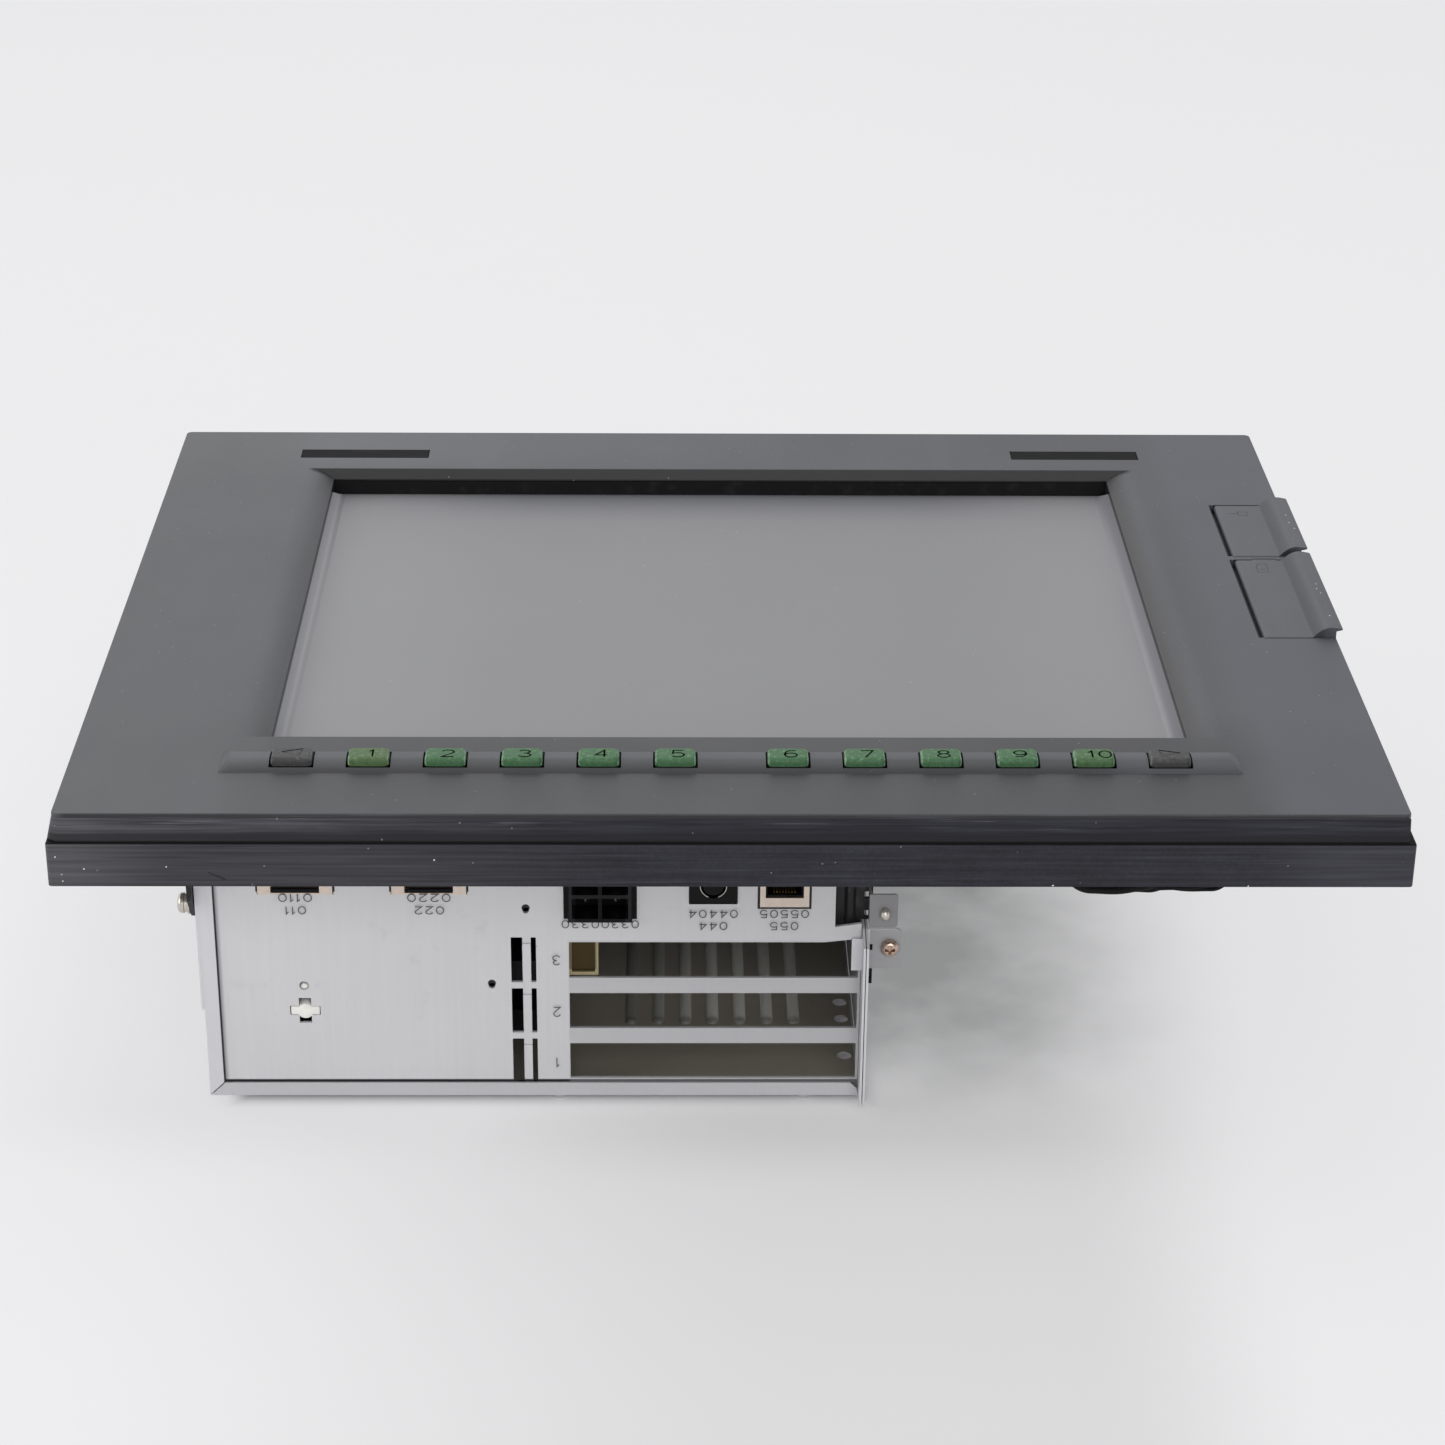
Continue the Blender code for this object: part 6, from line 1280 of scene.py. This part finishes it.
def stage():
    """A plain pale floor, a pale sky and soft lamps."""
    shape = bmesh.new()
    bmesh.ops.create_grid(shape, x_segments=2, y_segments=2, size=FLOOR_REACH)
    floor = made_object("floor", shape, floor_paper())
    floor.location.z = -FLOOR_DROP
    sky()
    for lamp in LAMPS:
        soft_lamp(*lamp)


def floor_paper():
    """Pale paper. The camera, metal and glass see it lifted, so that its shadows stay soft, but not under the case.
    Painted shadow lies on it to the right of the case, in front of it and to its left, and painted shade in front of
    the panel's middle.
    """
    paper = Finish("floor_paper", (228, 227, 229), 0.9, Specular_IOR_Level=0.1)
    x, y = paper.x, paper.y
    paper.tone(0.03, paper.noise(0.35, 4.0))
    paper.tone(0.02, paper.noise(0.03, 4.0, shift=2.0))
    low, high, middle = box("rear_case")
    half = (high - low) / 2
    outside = ((x - middle.x).size() - half.x).most((y - middle.y).size() - half.y)
    open_floor = outside.ramp(-0.015, -0.004)
    beside = x - high.x
    mottle = (paper.noise(0.030, 5.0, shift=3.0) - 0.5) * 0.7 + 0.98
    # painted shadows: to the right of the case, mottled, in front of it and to its left
    right = beside.ramp(0.142, 0.015) * x.ramp(0.0, 0.05) * y.ramp(-0.195, -0.040) * y.ramp(0.45, 0.16) * mottle
    front = y.ramp(low.y - 0.050, low.y) * x.ramp(-0.14, 0.03) * beside.ramp(0.10, 0.02) * y.ramp(0.10, 0.0) * 0.32
    left = x.ramp(low.x - 0.13, low.x) * x.ramp(0.0, low.x) * y.ramp(-0.18, -0.12) * y.ramp(0.30, 0.10) * 0.16
    # painted shade: a broad darker area in front of the panel's middle
    near = x.ramp(-0.22, 0.03) * x.ramp(0.19, 0.11) * y.ramp(-0.09, -0.15)
    seen = (1, 1, 1.015, 1)
    # the painted shadows darken the colour that the camera, metal and glass see
    for mask, colour in ((near, (0.815, 0.81, 0.82, 1)), (right.most(front.most(left)), (0.33, 0.335, 0.335, 1))):
        seen = paper.node("Mix", {"data_type": "RGBA"}, {0: mask, 6: seen, 7: colour}, 2)
    glow = paper.node("Emission", {}, {"Color": seen, "Strength": FLOOR_SEEN})
    share = open_floor * (FLOOR_GLOW - FLOOR_GLOW_UNDER) + FLOOR_GLOW_UNDER
    paper.blend(share, paper.surface, glow, paper.output)
    return paper


def sky():
    """A pale sky that lights the object evenly. The camera, metal and glass see it brighter beyond the panel."""
    world = bpy.data.worlds.new("pale_sky")
    bpy.context.scene.world = world
    nodes = Nodes(world)
    ahead = nodes.node("SeparateXYZ", {}, {0: nodes.node("TexCoord", {}, {}, "Generated")}, "Y")
    levels = {"Value": ahead, "From Min": -0.7, "From Max": 0.5, "To Min": SKY_NEAR, "To Max": SKY_FAR}
    level = nodes.node("MapRange", {"interpolation_type": "SMOOTHSTEP"}, levels)
    lit = nodes.node("Background", {}, {"Strength": SKY_ON_OBJECT})
    shown = nodes.node("Background", {}, {"Color": (0.98, 0.985, 1, 1), "Strength": level})
    nodes.blend(1.0, lit, shown, nodes.added("OutputWorld", {}, {}))


def soft_lamp(name, place, aim, size, power):
    """A square area lamp turned towards a point."""
    lamp = bpy.data.lights.new(name, "AREA")
    lamp.size = size
    lamp.energy = power
    holder = bpy.data.objects.new(name, lamp)
    holder.location = place
    holder.rotation_euler = (Vector(aim) - Vector(place)).to_track_quat("-Z", "Y").to_euler()
    bpy.context.scene.collection.objects.link(holder)


def camera():
    """The camera where the photograph was taken from."""
    lens = bpy.data.cameras.new("photo_camera")
    lens.sensor_width = SENSOR
    lens.lens = FOCAL_SHARE * SENSOR
    lens.clip_start = 0.02
    holder = bpy.data.objects.new("photo_camera", lens)
    tilt = Matrix.Rotation(pi / 2 - CAMERA_PITCH, 4, "X") @ Matrix.Rotation(CAMERA_ROLL, 4, "Z")
    holder.matrix_world = Matrix.Translation(CAMERA_PLACE) @ Matrix.Rotation(-CAMERA_YAW, 4, "Z") @ tilt
    bpy.context.scene.collection.objects.link(holder)
    bpy.context.scene.camera = holder


# The whole scene

def dress_keys():
    """Grey plastic on the two end keys and green on the rest, two of them a little yellower."""
    greens = {1: (72, 98, 60), 10: (64, 97, 59)}
    caps = []
    for i, node in enumerate(KEY_NODES):
        if i in GREY_KEYS:
            colour, pale = (60, 60, 61), (126, 126, 127)
        else:
            colour, pale = greens.get(i, (60, 99, 65)), (158, 188, 160)
        caps.append(key_plastic(node.replace("key", "key_plastic"), colour, pale, node))
        dress(caps[-1], node)
    return caps


def finishes():
    """Gives every CAD node its finish and returns the finishes that the new pieces share."""
    chips = [
        (x, FRAME_LOW.y, z) for x, z in (
            (-0.2191, 0.1251), (-0.2101, 0.1207), (-0.1835, 0.1215), (-0.2173, 0.1163), (-0.2173, 0.1188),
            (-0.0968, 0.1241), (0.1043, 0.1149), (0.1681, 0.1147),
        )
    ]
    rubs = [
        (RIGHT + x, y, FACE + z) for x, y, z in (
            (-0.0009, 0.0746, 0.0037), (-0.0010, 0.0669, 0.0037), (0.0003, 0.0614, 0.0036), (-0.0007, 0.0076, 0.0037),
            (-0.0012, 0.0032, 0.0037), (-0.0004, -0.0006, 0.0037), (-0.0007, -0.0212, 0.0037),
        )
    ]
    bezel = panel_paint("bezel", (16, 16, 22), (60, 61, 66), streaks=1.1)
    cover = panel_paint("cover", (64, 66, 73), (64, 66, 73), rubs)
    black_rubber = rubber("black_rubber", (10, 10, 11))
    zinc = wall_sheet()
    plastic = moulded("black_plastic", (10, 10, 11))
    steel = bright_metal("plated_steel", (206, 200, 190))
    dress(bezel, "front_bezel")
    dress(panel_paint("frame", (43, 43, 50), (50, 50, 54), chips, 0.75, 0.14), "mounting_frame")
    dress(cover, "usb_cover", "card_cover")
    dress(screen_film("screen_film"), "touch_glass")
    dress(black_rubber, "panel_seal", "window_gasket", "key_mat", "cable_grommet_left", "cable_grommet_right")
    dress(label_film(), "label_plate_left", "label_plate_right")
    caps = dress_keys()
    dress(zinc, "rear_case", "slot_bracket", "side_strap")
    dress(inside_dark(zinc_sheet("cover_sheet", (192, 192, 195), (40, 1, 1))), "rear_cover")
    dress(plate_sheet(), "connector_plate")
    dress(zinc_sheet("tab_sheet", (133, 132, 134)), "case_tab")
    dress(zinc_sheet("tray_sheet", (182, 183, 186)), "rear_tray")
    dress(power_plastic(), "power_connector")
    dress(plastic, "keyboard_connector", "port_housing", "card_socket", "card_eject_button")
    dress(moulded("fan_plastic", (26, 26, 28), 0.5), "fan_frame", "fan_rotor")
    dress(coated_steel("black_steel", (30, 30, 32)), "lead_plate", "side_bracket", "lcd_module")
    shell = bright_metal("shell_metal", (214, 200, 188), 0.34)
    dress(shell, "network_connector", "serial_connector_left", "serial_connector_right")
    dress(steel, "usb_socket", "usb_cover_pin", "card_cover_pin", "disk_unit")
    dress(amber_plastic(), "slot_guide")
    green = circuit_board("circuit_board", (22, 70, 44), (44, 104, 62))
    dress(green, "mainboard", "key_board", "backlight_inverter")
    dress(circuit_board("dark_board", (9, 13, 12), (18, 24, 21)), "riser_board")
    dress(bright_metal("fin_aluminium", (196, 197, 200), 0.36, (1, 30, 1)), "heat_sink")
    dress(moulded("yellow_wrap", (206, 170, 44), 0.35), "backup_battery")
    return {
        "rubber": black_rubber, "plastic": plastic, "steel": steel, "bezel": bezel, "cover": cover, "zinc": zinc,
        "caps": caps,
        "film": film_border(),
        "skirt": skirt_paint(),
        "sign": printing_ink("sign_shadow", (74, 76, 80)),
        "hood": hood_sheet(),
        "guide": moulded("guide_amber", (58, 46, 20), 0.35),
        "copper": bright_metal("warm_steel", (196, 174, 158), 0.20),
        "gold": bright_metal("contact_gold", (214, 176, 98), 0.28),
        "ink": printing_ink("grey_ink", (92, 92, 94)),
        "key_ink": printing_ink("key_fill", (14, 22, 16)),
        "nylon": moulded("white_nylon", (238, 236, 230), 0.5),
    }


def build_scene():
    """Dresses the CAD nodes, adds the small pieces and sets the stage."""
    camera()
    looks = finishes()
    for make, *names in (
        (key_caps, "caps"), (key_figures, "key_ink"), (bar_skin, "bezel"), (bezel_skirt, "skirt"),
        (dish_skins, "bezel", "film"), (port_covers, "cover", "sign"), (strap_seam, "zinc"), (vent_hoods, "hood"),
        (guide_front, "guide"), (tab_slots, "plastic"), (plate_figures, "ink"), (screws, "steel", "copper"),
        (network_lining, "plastic"), (network_contacts, "gold"), (serial_details, "plastic", "gold", "steel"),
        (keyboard_details, "steel", "plastic"), (power_contacts, "steel"), (board_clip, "nylon"),
        (cable_strands, "rubber"),
    ):
        make(*[looks[name] for name in names])
    stage()
    bpy.context.scene.view_settings.view_transform = "Standard"


build_scene()
